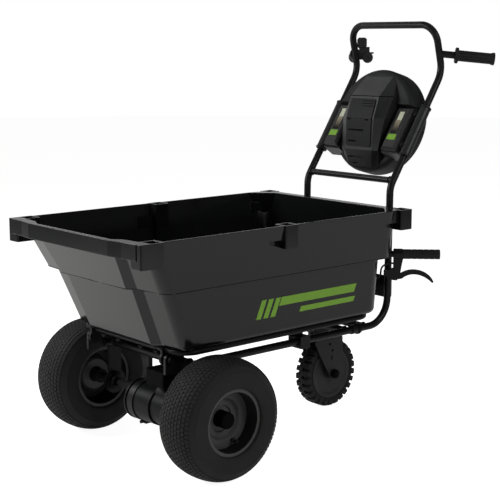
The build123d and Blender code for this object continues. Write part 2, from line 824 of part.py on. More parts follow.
def make_release_bracket():
    """Plate on the tub's rear wall with the release tube, latch guide and lever hanger."""
    through = (bracket_y, bracket_y + bracket_sheet)
    plate = block((latch_x - 26, release_x + 3), through, (latch_z - 26, release_z + 34))
    notch = block((latch_x + 26, release_x + 60), through, (latch_z - 40, release_z - 26))
    plate = fillet((plate - notch).edges().filter_by(Axis.Y), 6)
    start, end = collar_span
    bracket = plate + along_release(2, release_end - 8, release_tube_radius)
    bracket += along_release(start, end, 15)
    bracket -= block((-400, 400), (bracket_y - 60, bracket_y), (300, 600))
    pivot_s, pivot_h = lever_pivot
    drop = [
        (start, -8),
        (end + 3, -8),
        (end - 2, -34),
        (pivot_s + 11, pivot_h + 2),
        (pivot_s + 2, pivot_h - 9),
        (pivot_s - 12, pivot_h - 7),
        (start - 26, pivot_h + 4),
        (start - 26, pivot_h + 18),
        (start, -40),
    ]
    inner_face = lever_sheet / 2 + moving_gap
    for low in (inner_face, -inner_face - cheek_sheet):
        cheek = extrude(release_plane.offset(low) * filled(drop), cheek_sheet)
        bracket += cheek - along_release(0, end, 12) - along_release(end, release_end, 14)
    width = inner_face + cheek_sheet
    bracket += release_plane * rod((pivot_s, pivot_h, -width), (pivot_s, pivot_h, width), lever_pin_radius)
    bracket += release_plane * block((start, start + 9), (-33, -19), (-width, width))
    guide = rod((latch_x, bracket_y, latch_z), (latch_x, bracket_y + 34, latch_z), latch_radius + 6)
    bore_radius = latch_radius + running_clearance
    bore = rod((latch_x, bracket_y - 30, latch_z), (latch_x, bracket_y + 60, latch_z), bore_radius)
    return bracket + guide - bore


def make_release_grip():
    """Ribbed sleeve grip on the release tube."""
    start = collar_span[1]
    grip = along_release(start, release_end, 13.6)
    grip = fillet(grip.edges(), 2)
    for step in range(5):
        place = start + 24 + step * 16
        grip -= along_release(place, place + 2.5, 16) - along_release(place, place + 2.5, 12.6)
    return grip - along_release(0, release_end - 8, release_tube_radius)


def make_release_lever():
    """Curved squeeze lever below the release grip, thick at its pivot and tapering to a turned-down tip."""
    upper = Spline((76, -53), (112, -43), (150, -56), (165, -74))
    lower = Spline((160, -78), (145, -66), (112, -56), (80, -68))
    heel = Polyline((80, -68), (56, -73), (46, -70), (46, -58), (76, -53))
    tip = ThreePointArc((165, -74), (164.5, -78.5), (160, -78))
    outline = make_face(upper.edges() + tip.edges() + lower.edges() + heel.edges())
    lever = extrude(release_plane.offset(-lever_sheet / 2) * outline, lever_sheet)
    pin = rod((*lever_pivot, -20), (*lever_pivot, 20), lever_pin_radius + running_clearance)
    return lever - release_plane * pin


cable_radius = 2.6


def make_release_cable():
    """Cable from the lever's hanger round to the latch guide, held close to the rear plate."""
    start = release_plane.from_local_coords(Vector(collar_span[0], -26, 0))
    high = release_plane.from_local_coords(Vector(collar_span[0] - 34, -26, 0))
    low = (high.X, high.Y, latch_z + 32)
    turn = (latch_x, bracket_y + 18, latch_z + 32)
    end = (latch_x, bracket_y + 18, latch_z + latch_radius + 6)
    path = bent_path([start, high, low, turn, end], [18, 20, 14])
    return pipe(path, cable_radius)


def make_latch_bolt():
    """Sprung latch bolt, stored just short of its keeper."""
    bolt = rod((latch_x, bracket_y - 16, latch_z), (latch_x, brace_y - moving_gap, latch_z), latch_radius)
    return chamfer(bolt.faces().sort_by(Axis.Y)[-1].edges(), 2)


# Battery housing on the leaning tubes
sleeve_radius = 15.5
sleeve_span = (104.0, 254.0)
dock_wall = 5.0
recess_back = -12.0
pack_inner = 88.0
pack_low = 106.0
pack_front = 27.0
pack_back = pack_front - pack_depth


def lean_block(x_span, along_span, out_span):
    """Box in the leaning tubes' plane: across, up the tubes, and out to the front."""
    return lean_plane * block(x_span, along_span, out_span)


def ear_limits(side):
    """Across limits of a clamp sleeve's ears, from the dock to the tube."""
    return sorted((side * (pack_inner + pack_width + dock_wall), side * (rail_x - 11)))


def make_sleeve(side):
    """Split clamp sleeve that holds the housing on one tube."""
    x = side * rail_x
    sleeve = lean_plane * rod((x, sleeve_span[0], 0), (x, sleeve_span[1], 0), sleeve_radius)
    for low in (sleeve_span[0] + 14, sleeve_span[1] - 36):
        sleeve += lean_block(ear_limits(side), (low, low + 22), (-8, 8))
    return sleeve - lean_plane * rod((x, 0, 0), (x, lean_length, 0), tube_radius)


def dock_limits(side):
    """Outer limits of one battery dock in the leaning plane."""
    across = sorted((side * (pack_inner - dock_wall), side * (pack_inner + pack_width + dock_wall)))
    along = (pack_low - dock_wall, pack_low + pack_height + dock_wall)
    return across, along, (pack_back - dock_wall, pack_front - 18)


def pack_limits(side, gap):
    """Limits of one battery pack in the leaning plane, grown by a gap."""
    across = sorted((side * pack_inner, side * (pack_inner + pack_width)))
    return (
        (across[0] - gap, across[1] + gap),
        (pack_low - gap, pack_low + pack_height + gap),
        (pack_back - gap, pack_front + gap),
    )


def make_dock(side):
    """Open-fronted battery dock."""
    dock = lean_block(*dock_limits(side))
    return dock - lean_block(*pack_limits(side, sliding_clearance))


def make_pack(side):
    """Battery pack with bevelled edges, a window recess and a thumb button."""
    across, along, out = pack_limits(side, 0)
    pack = lean_block(across, along, out)
    front = pack.faces().sort_by(Axis((0, 0, 0), lean_plane.z_dir))[-1]
    pack = chamfer(front.edges(), 7)
    middle = (across[0] + across[1]) / 2
    window = lean_block((middle - 9, middle + 9), (along[1] - 44, along[1] - 16), (out[1] - 2, out[1] + 5))
    button = lean_block((middle - 12, middle + 12), (along[1] - 12, along[1] - 7), (out[1] - 9, out[1] - 4))
    return pack - window + button


def make_pack_window(side):
    """Pale charge window set in a pack's face."""
    across, along, out = pack_limits(side, 0)
    middle = (across[0] + across[1]) / 2
    return lean_block((middle - 9, middle + 9), (along[1] - 44, along[1] - 16), (out[1] - 2, out[1] - 0.5))


def make_pack_bar(side):
    """Coloured bar low on a pack's face."""
    across, along, out = pack_limits(side, 0)
    middle = (across[0] + across[1]) / 2
    return lean_block((middle - 15, middle + 15), (along[0] + 28, along[0] + 46), (out[1], out[1] + 1.2))


def housing_cut():
    """What the round shell leaves room for: docks, sleeves and tubes."""
    cut = []
    for side in (-1, 1):
        x = side * rail_x
        across, along, out = dock_limits(side)
        cut.append(lean_block(across, along, (out[0], out[1] + 120)))
        recess = sorted((side * (pack_inner - dock_wall), side * (rail_x + 20)))
        cut.append(lean_block(recess, along, (recess_back, out[1] + 120)))
        cut.append(lean_plane * rod((x, -80, 0), (x, lean_length + 80, 0), tube_radius))
        cut.append(lean_plane * rod((x, sleeve_span[0], 0), (x, sleeve_span[1], 0), sleeve_radius))
        for low in (sleeve_span[0] + 14, sleeve_span[1] - 36):
            cut.append(lean_block(ear_limits(side), (low, low + 22), (-8, 8)))
    return cut


def make_shell():
    """Round rear shell of the battery housing."""
    shell = shell_plane * Cylinder(shell_diameter / 2, shell_depth)
    rims = shell.edges().filter_by(GeomType.CIRCLE)
    shell = fillet(rims, 16)
    return shell - housing_cut()


# Middle cover, level by level from the shell's centre: height, then how far forward and how wide
# its front face and its bevelled sides are
cover_levels = [
    (-123.0, (82.0, 46.0), (67.0, 58.0)),
    (-73.0, (91.0, 52.0), (85.0, 71.0)),
    (19.0, (87.0, 55.0), (70.0, 81.5)),
    (80.0, (65.0, 55.5), (34.0, 81.5)),
    (134.0, (4.0, 52.0), (-4.0, 62.0)),
]
panel_half_width = 48.0
panel_sheet = 3.0
panel_rise = (-64.0, 73.0)
slot_height = 4.5


def cover_section(rise, front, bevel):
    """Plan outline of the middle cover at one level, reaching back into the shell."""
    back = -rise * tan(radians(shell_lean))
    right = [(front[1], -front[0]), (bevel[1], -bevel[0]), (bevel[1], -back + 1)]
    left = [(-x, y) for x, y in reversed(right)]
    return Pos(0, shell_centre.Y, shell_centre.Z + rise) * filled(right + left)


def housing_block(x_span, forward_span, rise_span):
    """Box placed from the shell's centre: across, forward and upward."""
    forward = sorted(shell_centre.Y - reach for reach in forward_span)
    return block(x_span, forward, [shell_centre.Z + rise for rise in rise_span])


def make_spine():
    """Raised middle cover in front of the shell, with bevelled sides, a sloping brow and chin slots."""
    spine = loft([cover_section(*level) for level in cover_levels], ruled=True)
    spine &= shell_plane * Cylinder(shell_diameter / 2 - 1, 400)
    spine -= shell_plane * Cylinder(shell_diameter / 2, shell_depth)
    for x_span, rise in (((-42, 14), -95), ((-26, 14), -114)):
        spine -= housing_block(x_span, (74, 120), (rise - slot_height / 2, rise + slot_height / 2))
    return spine


def make_front_panel(spine):
    """Thin vented panel that follows the cover's front face."""
    panel = housing_block((-panel_half_width, panel_half_width), (40, 130), panel_rise)
    panel = fillet(panel.edges().filter_by(Axis.Y), 8)
    panel = (panel & Pos(0, -panel_sheet, 0) * spine) - spine
    for x_span, rise in (((-40, 20), -17), ((-40, -8), -49)):
        panel -= housing_block(x_span, (40, 130), (rise - slot_height / 2, rise + slot_height / 2))
    return panel


# Throttle pod, thumb lever and direction rocker on the right-hand stub
pod_stub = grip_plane(-1, 20)
pod_plane = Plane(origin=pod_stub.origin, x_dir=pod_stub.x_dir, z_dir=-pod_stub.z_dir)
pod_thickness = 12.0
throttle_centre = (38.0, -13.0)
throttle_radius = 16.0
throttle_pin_radius = 4.0
rocker_radius = 6.0
rocker_span = (13.0, 27.0)
rocker_height = 42.0


def pod_block(across, upward, along):
    """Box in the pod's plane: across the stub, upward, and along the stub."""
    return pod_plane * block(across, upward, along)


def make_pod(handle):
    """Control pod clamped on the stub, with a raised head and a pin for the thumb lever."""
    head = pod_block((6, 35), (17, 47), (-pod_thickness, pod_thickness))
    head = chamfer(head.edges().filter_by(lambda edge: abs((edge % 0).dot(pod_plane.z_dir)) > 0.99), 5)
    pod = head + pod_block((12, 44), (-18, 20), (-pod_thickness, 0))
    pod += pod_plane * rod((0, 0, -pod_thickness), (0, 0, 0), tube_radius + 6)
    pod += pod_plane * rod((*throttle_centre, 0), (*throttle_centre, pod_thickness), throttle_pin_radius)
    room = rocker_radius + moving_gap
    pod -= pod_block(
        (rocker_span[0] - moving_gap, rocker_span[1] + moving_gap),
        (rocker_height - room, 60),
        (-room, room),
    )
    return pod - handle


def make_throttle():
    """Thumb lever: a round hub on the pod's pin with a flat paddle."""
    along = (moving_gap, pod_thickness + 1)
    hub = pod_plane * rod((*throttle_centre, along[0]), (*throttle_centre, along[1]), throttle_radius)
    paddle = pod_block((throttle_centre[0] - 4, throttle_centre[0] + 18), (-1, 3), along)
    bore = rod((*throttle_centre, -40), (*throttle_centre, 40), throttle_pin_radius + running_clearance)
    return hub + paddle - pod_plane * bore


def make_rocker():
    """Direction rocker in the pod's top, rolled round its own pivot."""
    body = rod((rocker_span[0], rocker_height, 0), (rocker_span[1], rocker_height, 0), rocker_radius)
    for side in (-1, 1):
        wedge = Rotation(side * 14, 0, 0) * block((-12, 12), (0, 10), sorted((-side * 4, side * 14)))
        body -= Pos(20, rocker_height + 2.5, 0) * wedge
    return pod_plane * body


# Assembly
keep("tub_shell", make_tub())
keep("stake_pockets", *make_stake_pockets())
keep("tub_cradle", make_cradle())
keep("tub_bolts", *make_tub_bolts())
keep("release_bracket", make_release_bracket())
keep("release_grip", make_release_grip())
keep("release_cable", make_release_cable())
keep("release_lever", make_release_lever())
keep("latch_bolt", make_latch_bolt())
for side, name in ((1, "left"), (-1, "right")):
    keep(name + "_rail", make_rail(side))
    keep(name + "_rest_bracket", make_rest_bracket(side))
    keep(name + "_axle_leg", make_axle_leg(side))
    keep(name + "_axle_bearing", make_axle_bearing(side))
    keep(name + "_tyre", at_wheel(side, make_tyre()))
    keep(name + "_rim", at_wheel(side, make_rim()))
    keep(name + "_hub", at_wheel(side, make_hub()))
    keep(name + "_valve", at_wheel(side, make_valve()))
    keep(name + "_collar", make_collar(side))
    keep(name + "_grip", make_grip(side, grip_flanges[side]))
    keep(name + "_clamp_sleeve", make_sleeve(side))
    keep(name + "_dock", make_dock(side))
    keep(name + "_pack", make_pack(side))
    keep(name + "_pack_window", make_pack_window(side))
    keep(name + "_pack_bar", make_pack_bar(side))
keep("front_cross_tube", make_cross_tube(axle_y, front_cross_radius))
keep("rear_cross_tubes", *[make_cross_tube(swivel_y + reach, tube_radius) for reach in (-54, 20)])
keep("tub_rests", *make_rests())
keep("motor_case", make_motor_case())
keep("gear_case", make_gear_case())
keep("motor_band", make_motor_band())
keep("controller", make_controller())
keep("caster_mount", make_caster_mount())
keep("caster_fork", make_fork())
keep("caster_bolt", make_caster_bolt())
keep("caster_tyre", make_caster_tyre())
keep("caster_hub", make_caster_hub())
handle = make_handle()
keep("handle_tube", handle)
keep("rear_brace", make_brace())
keep("housing_shell", make_shell())
spine = make_spine()
keep("housing_spine", spine)
keep("front_panel", make_front_panel(spine))
keep("throttle_pod", make_pod(handle))
keep("throttle_lever", make_throttle())
keep("direction_rocker", make_rocker())

os.makedirs("parts", exist_ok=True)
for name, shape in nodes.items():
    shape.label = name
    export_step(shape, os.path.join("parts", name + ".step"))
overall = Compound(children=list(nodes.values())).bounding_box()
print("nodes", len(nodes), "overall", overall.min, overall.max)
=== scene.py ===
# %% [markdown]
# # Dressing an electric garden cart
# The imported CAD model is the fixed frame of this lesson: it already has every tube, wheel and
# lever at its real size. Blender adds what CAD leaves out, such as tread, flutes and fasteners,
# and gives every surface a finish. Places and sizes of pieces are written in millimetres and turned
# into Blender's metres where they are used. X points to the operator's left, Y to the rear, Z up.

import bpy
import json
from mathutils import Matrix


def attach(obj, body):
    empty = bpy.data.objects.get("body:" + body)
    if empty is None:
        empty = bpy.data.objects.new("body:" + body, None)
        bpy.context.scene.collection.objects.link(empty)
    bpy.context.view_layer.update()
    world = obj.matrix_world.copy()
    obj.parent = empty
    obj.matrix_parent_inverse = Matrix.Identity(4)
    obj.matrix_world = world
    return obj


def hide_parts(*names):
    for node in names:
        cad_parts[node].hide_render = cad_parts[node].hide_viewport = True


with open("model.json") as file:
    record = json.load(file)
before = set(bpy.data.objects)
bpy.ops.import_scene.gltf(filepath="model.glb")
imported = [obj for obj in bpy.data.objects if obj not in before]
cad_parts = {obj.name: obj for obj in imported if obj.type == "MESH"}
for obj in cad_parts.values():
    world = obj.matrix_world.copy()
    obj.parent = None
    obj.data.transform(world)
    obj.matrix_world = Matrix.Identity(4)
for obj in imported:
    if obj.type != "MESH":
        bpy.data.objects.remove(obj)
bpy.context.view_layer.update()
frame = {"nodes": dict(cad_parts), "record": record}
nodes = frame["nodes"]
both_sides = (("left", 1), ("right", -1))
signs = (1, -1)

# %% [markdown]
# ## Helpers for colours and nodes
# Colours are picked as sRGB hex values, the way a paint shop writes them, while shaders count in
# linear light, so one function turns the first into the second. Building node trees by script is
# mostly adding a node, setting its values and joining its inputs, so one small function does that.

# %% Colour and node helpers
import json
from math import atan2, cos, pi, radians, sin

import bmesh
import bpy
from mathutils import Matrix, Vector

MM = 0.001


def paint(code):
    """Linear colour of an sRGB hex value."""
    parts = [int(code[i:i + 2], 16) / 255 for i in (1, 3, 5)]
    linear = [p / 12.92 if p <= 0.04045 else ((p + 0.055) / 1.055) ** 2.4 for p in parts]
    return (*linear, 1.0)


def add(tree, kind, inputs=None, **settings):
    """One shader node: its settings, its input values, and links from other nodes' outputs."""
    node = tree.nodes.new(kind)
    for name, value in settings.items():
        setattr(node, name, value)
    for socket, value in (inputs or {}).items():
        if isinstance(value, bpy.types.NodeSocket):
            tree.links.new(value, node.inputs[socket])
        else:
            node.inputs[socket].default_value = value
    return node


def mixed(tree, factor, first, second):
    """Colour between two colours: a Mix node takes them at sockets 6 and 7 and gives it at 2."""
    return add(tree, "ShaderNodeMix", {0: factor, 6: first, 7: second}, data_type="RGBA").outputs[2]


def per_mm(size):
    """Scale of a noise pattern whose features are size millimetres across."""
    return 1 / (size * MM)


print("grey #808080 is", round(paint("#808080")[0], 3), "in linear light")

# %% [markdown]
# ## The shared recipe of a moulded or coated surface
# Moulded plastic, rubber and powder coat all show the same three things: a colour that drifts a
# little over the hand's width, a fine grain that scatters the highlight, and a gloss that varies
# where the part was handled. The recipe below makes them with two noises on Object coordinates,
# so the pattern has a real size and stays on the part. No moulded or coated edge is knife-sharp, so
# a Bevel node rounds the normals at edges, which gives them their thin glint. Each finish then sets
# its own numbers.

# %% Recipe for grained surfaces
finishes = {}


def grained(name, dark, light, drift_mm, gloss, grain_mm, depth_mm, edge_mm, specular):
    """Material with drifting colour, varying gloss and a fine bump. Returns the parts of its tree."""
    material = bpy.data.materials.new(name)
    material.use_nodes = True
    tree = material.node_tree
    shader = tree.nodes["Principled BSDF"]
    place = add(tree, "ShaderNodeTexCoord").outputs["Object"]
    drift = add(tree, "ShaderNodeTexNoise", {"Vector": place, "Scale": per_mm(drift_mm), "Detail": 4.0})
    grain = add(tree, "ShaderNodeTexNoise", {"Vector": place, "Scale": per_mm(grain_mm), "Detail": 3.0})
    colour = mixed(tree, drift.outputs["Fac"], paint(dark), paint(light))
    rough = add(tree, "ShaderNodeMapRange", {"Value": drift.outputs["Fac"], "From Min": 0.3, "From Max": 0.7,
                                             "To Min": gloss[0], "To Max": gloss[1]}).outputs["Result"]
    edge = add(tree, "ShaderNodeBevel", {"Radius": edge_mm * MM}, samples=4)
    bump = add(tree, "ShaderNodeBump", {"Height": grain.outputs["Fac"], "Strength": 0.5,
                                        "Distance": depth_mm * MM, "Normal": edge.outputs["Normal"]})
    tree.links.new(colour, shader.inputs["Base Color"])
    tree.links.new(rough, shader.inputs["Roughness"])
    tree.links.new(bump.outputs["Normal"], shader.inputs["Normal"])
    shader.inputs["Specular IOR Level"].default_value = specular
    finishes[name] = material
    return {"tree": tree, "shader": shader, "place": place, "colour": colour, "rough": rough}


print("recipe ready")

# %% [markdown]
# ## Finishes
# The tub is moulded polyethylene with a semi-gloss skin: dark pigment, so what the eye sees
# is mostly the reflection of the bright room. Tubes are powder coated, which gives a fine
# orange-peel skin. Rims are enamelled, tyres are dull carbon-black rubber. A row gives the dark and
# light colour, the drift's size, the gloss from and to, the grain's size and depth, the edge's
# radius and the strength of the reflection.

# %% Finishes of the cart
recipes = {
    "moulded_polyethylene": ("#101111", "#151616", 90, (0.10, 0.16), 2.4, 0.01, 2.4, 0.40),
    "powder_coated_steel": ("#111111", "#161616", 40, (0.30, 0.40), 1.6, 0.03, 0.8, 0.20),
    "matt_powder_coat": ("#101010", "#151515", 40, (0.38, 0.48), 1.6, 0.03, 0.8, 0.14),
    "pale_powder_coat": ("#262626", "#2e2e2e", 40, (0.40, 0.50), 1.6, 0.03, 0.8, 0.25),
    "black_oxide_steel": ("#0a0a0a", "#101010", 18, (0.34, 0.48), 1.2, 0.03, 0.5, 0.22),
    "zinc_plated_steel": ("#2c2d2e", "#404144", 12, (0.30, 0.45), 1.0, 0.03, 0.5, 0.50),
    "satin_enamelled_steel": ("#4c4c4c", "#565656", 60, (0.36, 0.46), 3.0, 0.02, 2.0, 0.35),
    "painted_cast_aluminium": ("#111212", "#171818", 30, (0.36, 0.46), 1.8, 0.05, 1.0, 0.10),
    "carbon_black_rubber": ("#252525", "#2d2d2d", 50, (0.66, 0.80), 1.5, 0.10, 0.8, 0.24),
    "soft_grip_elastomer": ("#191919", "#202020", 25, (0.50, 0.62), 1.0, 0.06, 0.4, 0.25),
    "moulded_polypropylene": ("#2a2a2a", "#323232", 45, (0.42, 0.55), 1.4, 0.05, 1.2, 0.28),
    "textured_abs": ("#191a1a", "#202121", 55, (0.34, 0.44), 1.0, 0.04, 2.0, 0.40),
    "coarse_textured_abs": ("#1b1c1c", "#222323", 55, (0.52, 0.62), 1.0, 0.05, 2.0, 0.22),
    # matt black ABS, and the same black as painted shade on the wheels' caps and the seam under the brow
    "matt_black_abs_and_painted_shade": ("#030303", "#060606", 20, (0.60, 0.75), 1.0, 0.03, 0.5, 0.06),
    "smoked_polycarbonate": ("#141312", "#1a1917", 20, (0.10, 0.16), 1.0, 0.01, 0.5, 0.50),
    "satin_abs_panel": ("#161717", "#1c1d1d", 40, (0.34, 0.44), 1.0, 0.04, 1.0, 0.14),
    "glass_filled_nylon": ("#2e2e2e", "#363636", 35, (0.36, 0.48), 1.0, 0.05, 1.2, 0.34),
    "grey_nylon_trim": ("#3c3c3b", "#484846", 25, (0.34, 0.44), 1.0, 0.04, 0.4, 0.30),
    "frosted_polycarbonate": ("#d6d9c0", "#eef2d6", 22, (0.12, 0.22), 1.0, 0.02, 0.5, 0.50),
    "green_dyed_abs": ("#84b83c", "#94c94a", 30, (0.34, 0.44), 1.2, 0.04, 0.4, 0.30),
}
made = {name: grained(name, *recipe) for name, recipe in recipes.items()}
made["zinc_plated_steel"]["shader"].inputs["Metallic"].default_value = 1.0
print("finishes", len(finishes))

# %% [markdown]
# ## Painted shade in the rims, painted light in the lenses
# A rim's disc and flanges are enamelled. Its deep barrel is painted black as painted shade and dark
# reflection. The middle within the axle nut's radius is black too, for the nut's own dark coat together
# with painted shade of the dish's deep centre. They are told apart by their distance from the axle, which
# Object coordinates give. The lens below a pack's charge window has painted light: it fades from a
# pale colour at its head, for the window's light, to black at its foot, so its colour follows the height.

# %% Painted shade in barrels and painted light in lenses
axle_y, axle_z, wheel_out = -389.75, 152.5, 271.0
barrel_radius, barrel_band, nut_radius = 73.8, 0.9, 21.5
lens_foot, lens_head = 791.0, 828.0


def paint_barrel_and_centre_shade(rim):
    """Black on a rim's barrel as painted shade and dark reflection, and within the radius of its nut as the
    nut's own dark coat with painted shade.
    """
    tree = rim["tree"]
    from_axle = add(tree, "ShaderNodeVectorMath", {0: rim["place"], 1: (0, axle_y * MM, axle_z * MM)},
                    operation="SUBTRACT").outputs[0]
    across = add(tree, "ShaderNodeVectorMath", {0: from_axle, 1: (0, 1, 1)}, operation="MULTIPLY").outputs[0]
    radius = add(tree, "ShaderNodeVectorMath", {0: across}, operation="LENGTH").outputs["Value"]
    barrel = add(tree, "ShaderNodeMath", {0: radius, 1: barrel_radius * MM, 2: barrel_band * MM},
                 operation="COMPARE").outputs[0]
    nut = add(tree, "ShaderNodeMath", {0: radius, 1: nut_radius * MM}, operation="LESS_THAN").outputs[0]
    shade_mask = add(tree, "ShaderNodeMath", {0: barrel, 1: nut}, operation="MAXIMUM").outputs[0]
    rough = add(tree, "ShaderNodeMix", {0: shade_mask, 2: rim["rough"], 3: 0.85}).outputs[0]
    # painted shade: barrel and middle turn near-black #040404 and rough
    tree.links.new(mixed(tree, shade_mask, rim["colour"], paint("#040404")), rim["shader"].inputs["Base Color"])
    tree.links.new(rough, rim["shader"].inputs["Roughness"])


def paint_window_light(lens):
    """Painted light: pale at the lens's head for the window's light, its own dark colour at the foot."""
    tree = lens["tree"]
    height = add(tree, "ShaderNodeSeparateXYZ", {"Vector": lens["place"]}).outputs["Z"]
    window_light = add(tree, "ShaderNodeMapRange", {"Value": height, "From Min": lens_foot * MM,
                                            "From Max": lens_head * MM},
               interpolation_type="SMOOTHSTEP").outputs["Result"]
    # painted light: the pale #a39a84 stands for the window's light at the lens's head
    tree.links.new(mixed(tree, window_light, lens["colour"], paint("#a39a84")), lens["shader"].inputs["Base Color"])


paint_barrel_and_centre_shade(made["satin_enamelled_steel"])
paint_window_light(made["smoked_polycarbonate"])
print("two finishes changed over their pieces")

# %% Which node wears which finish
slot_finish = {
    "tub_plastic": "moulded_polyethylene",
    "coated_steel": "powder_coated_steel",
    "dark_steel": "black_oxide_steel",
    "plated_steel": "zinc_plated_steel",
    "rim_steel": "satin_enamelled_steel",
    "motor_paint": "painted_cast_aluminium",
    "tyre_rubber": "carbon_black_rubber",
    "soft_rubber": "soft_grip_elastomer",
    "wheel_plastic": "moulded_polypropylene",
    "shell_plastic": "textured_abs",
    "panel_plastic": "satin_abs_panel",
    "pack_plastic": "glass_filled_nylon",
    "window_plastic": "frosted_polycarbonate",
    "green_plastic": "green_dyed_abs",
}
own_finish = {
    "controller": "matt_black_abs_and_painted_shade",
    "tub_cradle": "matt_powder_coat",
    "caster_fork": "pale_powder_coat",
    "housing_shell": "coarse_textured_abs",
    "left_hub": "satin_enamelled_steel",
    "right_hub": "satin_enamelled_steel",
}
node_slot = {row["node"]: row["material_slot"] for row in frame["record"]["subparts"]}
for name, cad in nodes.items():
    cad.data.materials.clear()
    cad.data.materials.append(finishes[own_finish.get(name, slot_finish[node_slot[name]])])
print("dressed", len(node_slot), "nodes")

# %% [markdown]
# ## Helpers for modelling by hand
# Every new piece is made the way it would be at the keyboard: deselect all, add a primitive, select
# faces by their place, and use edit-mode tools. These helpers keep the cells below short.

# %% Helpers that select and draw
def start(kind, name, **size):
    """Deselect everything, add one primitive and name it."""
    bpy.ops.object.select_all(action="DESELECT")
    getattr(bpy.ops.mesh, f"primitive_{kind}_add")(**size)
    piece = bpy.context.object
    piece.name = name
    return piece


def pick(piece, kind, test):
    """In edit mode, select only the verts, edges or faces that pass a test."""
    bpy.ops.mesh.select_mode(type=kind)
    bpy.ops.mesh.select_all(action="DESELECT")
    mesh = bmesh.from_edit_mesh(piece.data)
    for item in {"VERT": mesh.verts, "EDGE": mesh.edges, "FACE": mesh.faces}[kind]:
        if test(item):
            item.select_set(True)
    mesh.select_flush_mode()
    bmesh.update_edit_mesh(piece.data)


def only(*pieces):
    """Select just these pieces; the first is the active one."""
    bpy.ops.object.select_all(action="DESELECT")
    for piece in pieces:
        piece.select_set(True)
    bpy.context.view_layer.objects.active = pieces[0]


def drawn(name, points):
    """A line of edges in millimetres: one vertex, extruded from point to point. Leaves edit mode on."""
    piece = start("plane", name, size=MM)
    bpy.ops.object.mode_set(mode="EDIT")
    bpy.ops.mesh.select_mode(type="VERT")
    bpy.ops.mesh.select_all(action="SELECT")
    bpy.ops.mesh.merge(type="CENTER")
    bpy.ops.transform.translate(value=[c * MM for c in points[0]])
    for here, there in zip(points, points[1:]):
        step = [(b - a) * MM for a, b in zip(here, there)]
        bpy.ops.mesh.extrude_region_move(TRANSFORM_OT_translate={"value": step})
    return piece


print("selecting and drawing ready")

# %% Helpers that close a shape
def face_out():
    """Turn all faces of the piece in edit mode outward, and leave edit mode."""
    bpy.ops.mesh.select_all(action="SELECT")
    bpy.ops.mesh.normals_make_consistent(inside=False)
    bpy.ops.object.mode_set(mode="OBJECT")


def spun(name, points, axis, steps):
    """A drawn line turned once round an axis through the origin, welded, with its faces outward."""
    piece = drawn(name, points)
    bpy.ops.mesh.select_all(action="SELECT")
    bpy.ops.mesh.spin(steps=steps, angle=2 * pi, center=(0, 0, 0), axis=axis)
    bpy.ops.mesh.select_all(action="SELECT")
    bpy.ops.mesh.remove_doubles(threshold=0.01 * MM)
    face_out()
    return piece


def spin_copies(count):
    """Copies of all that is in edit mode, spread evenly round the X axis. Leaves edit mode."""
    bpy.ops.mesh.select_all(action="SELECT")
    bpy.ops.mesh.spin(steps=count - 1, dupli=True, angle=2 * pi * (count - 1) / count,
                      center=(0, 0, 0), axis=(1, 0, 0))
    bpy.ops.object.mode_set(mode="OBJECT")


def thicken(thickness):
    """Extrude the flat piece in edit mode along Z, in millimetres, and leave edit mode."""
    bpy.ops.mesh.select_all(action="SELECT")
    bpy.ops.mesh.extrude_region_move(TRANSFORM_OT_translate={"value": (0, 0, thickness * MM)})
    face_out()


def rounded(piece, radius):
    """A line of edges made a curve, so that a round bevel gives it its thickness, and a mesh again."""
    only(piece)
    bpy.ops.object.convert(target="CURVE")
    piece.data.bevel_depth = radius * MM
    piece.data.bevel_resolution = 2
    bpy.ops.object.convert(target="MESH")
    return bpy.context.object


print("closing of shapes ready")

# %% [markdown]
# ## Helpers for copies and finished pieces
# A finished piece has its place frozen into its mesh, as the CAD nodes have, so patterns stay where
# they are. Repeated pieces are modelled once, at the origin and standing on Z, and then copied.

# %% Helpers that copy and finish
def twin(piece, name, matrix):
    """A copy with its own mesh, carried to its place."""
    only(piece)
    bpy.ops.object.duplicate(linked=False)
    copy = bpy.context.object
    copy.name = name
    copy.matrix_world = matrix @ piece.matrix_world
    return copy


def facing(place, direction):
    """Matrix that carries the origin to a place in millimetres and turns Z to a direction."""
    turn = Vector(direction).to_track_quat("Z", "Y").to_matrix().to_4x4()
    return Matrix.Translation(Vector(place) * MM) @ turn


def done(piece, body, slot, finish=None, stands_for=(), angle=32):
    """Freeze the place, smooth, dress and attach a piece to its body."""
    only(piece)
    bpy.ops.object.transform_apply(location=True, rotation=True, scale=True)
    bpy.ops.object.shade_smooth_by_angle(angle=radians(angle))
    piece.data.materials.clear()
    piece.data.materials.append(finishes[finish or slot_finish[slot]])
    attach(piece, body)
    for node in stands_for:
        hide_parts(node)
    print("made", piece.name, len(piece.data.polygons), "faces on", body)


def set_out(model, name, places, body, slot, finish=None):
    """Copies of one model at (place, direction) pairs, joined into one piece."""
    copies = [twin(model, name, facing(*place)) for place in places]
    only(*copies)
    if len(copies) > 1:
        bpy.ops.object.join()
    piece = bpy.context.object
    piece.name = name
    done(piece, body, slot, finish)


print("copying and finishing ready")

# %% [markdown]
# ## Turf tyres
# A garden cart rolls on low-pressure turf tyres: a round carcass with many small square blocks,
# set like bricks so that one row fills the gaps of the next. The carcass could be sculpted, but it
# is a solid of revolution, so half its section is drawn and spun. One block is modelled, copied
# across the tread and then spun as copies. At the crown the blocks reach the radius of the CAD tyre,
# and the carcass lies lower by the depth of the grooves.

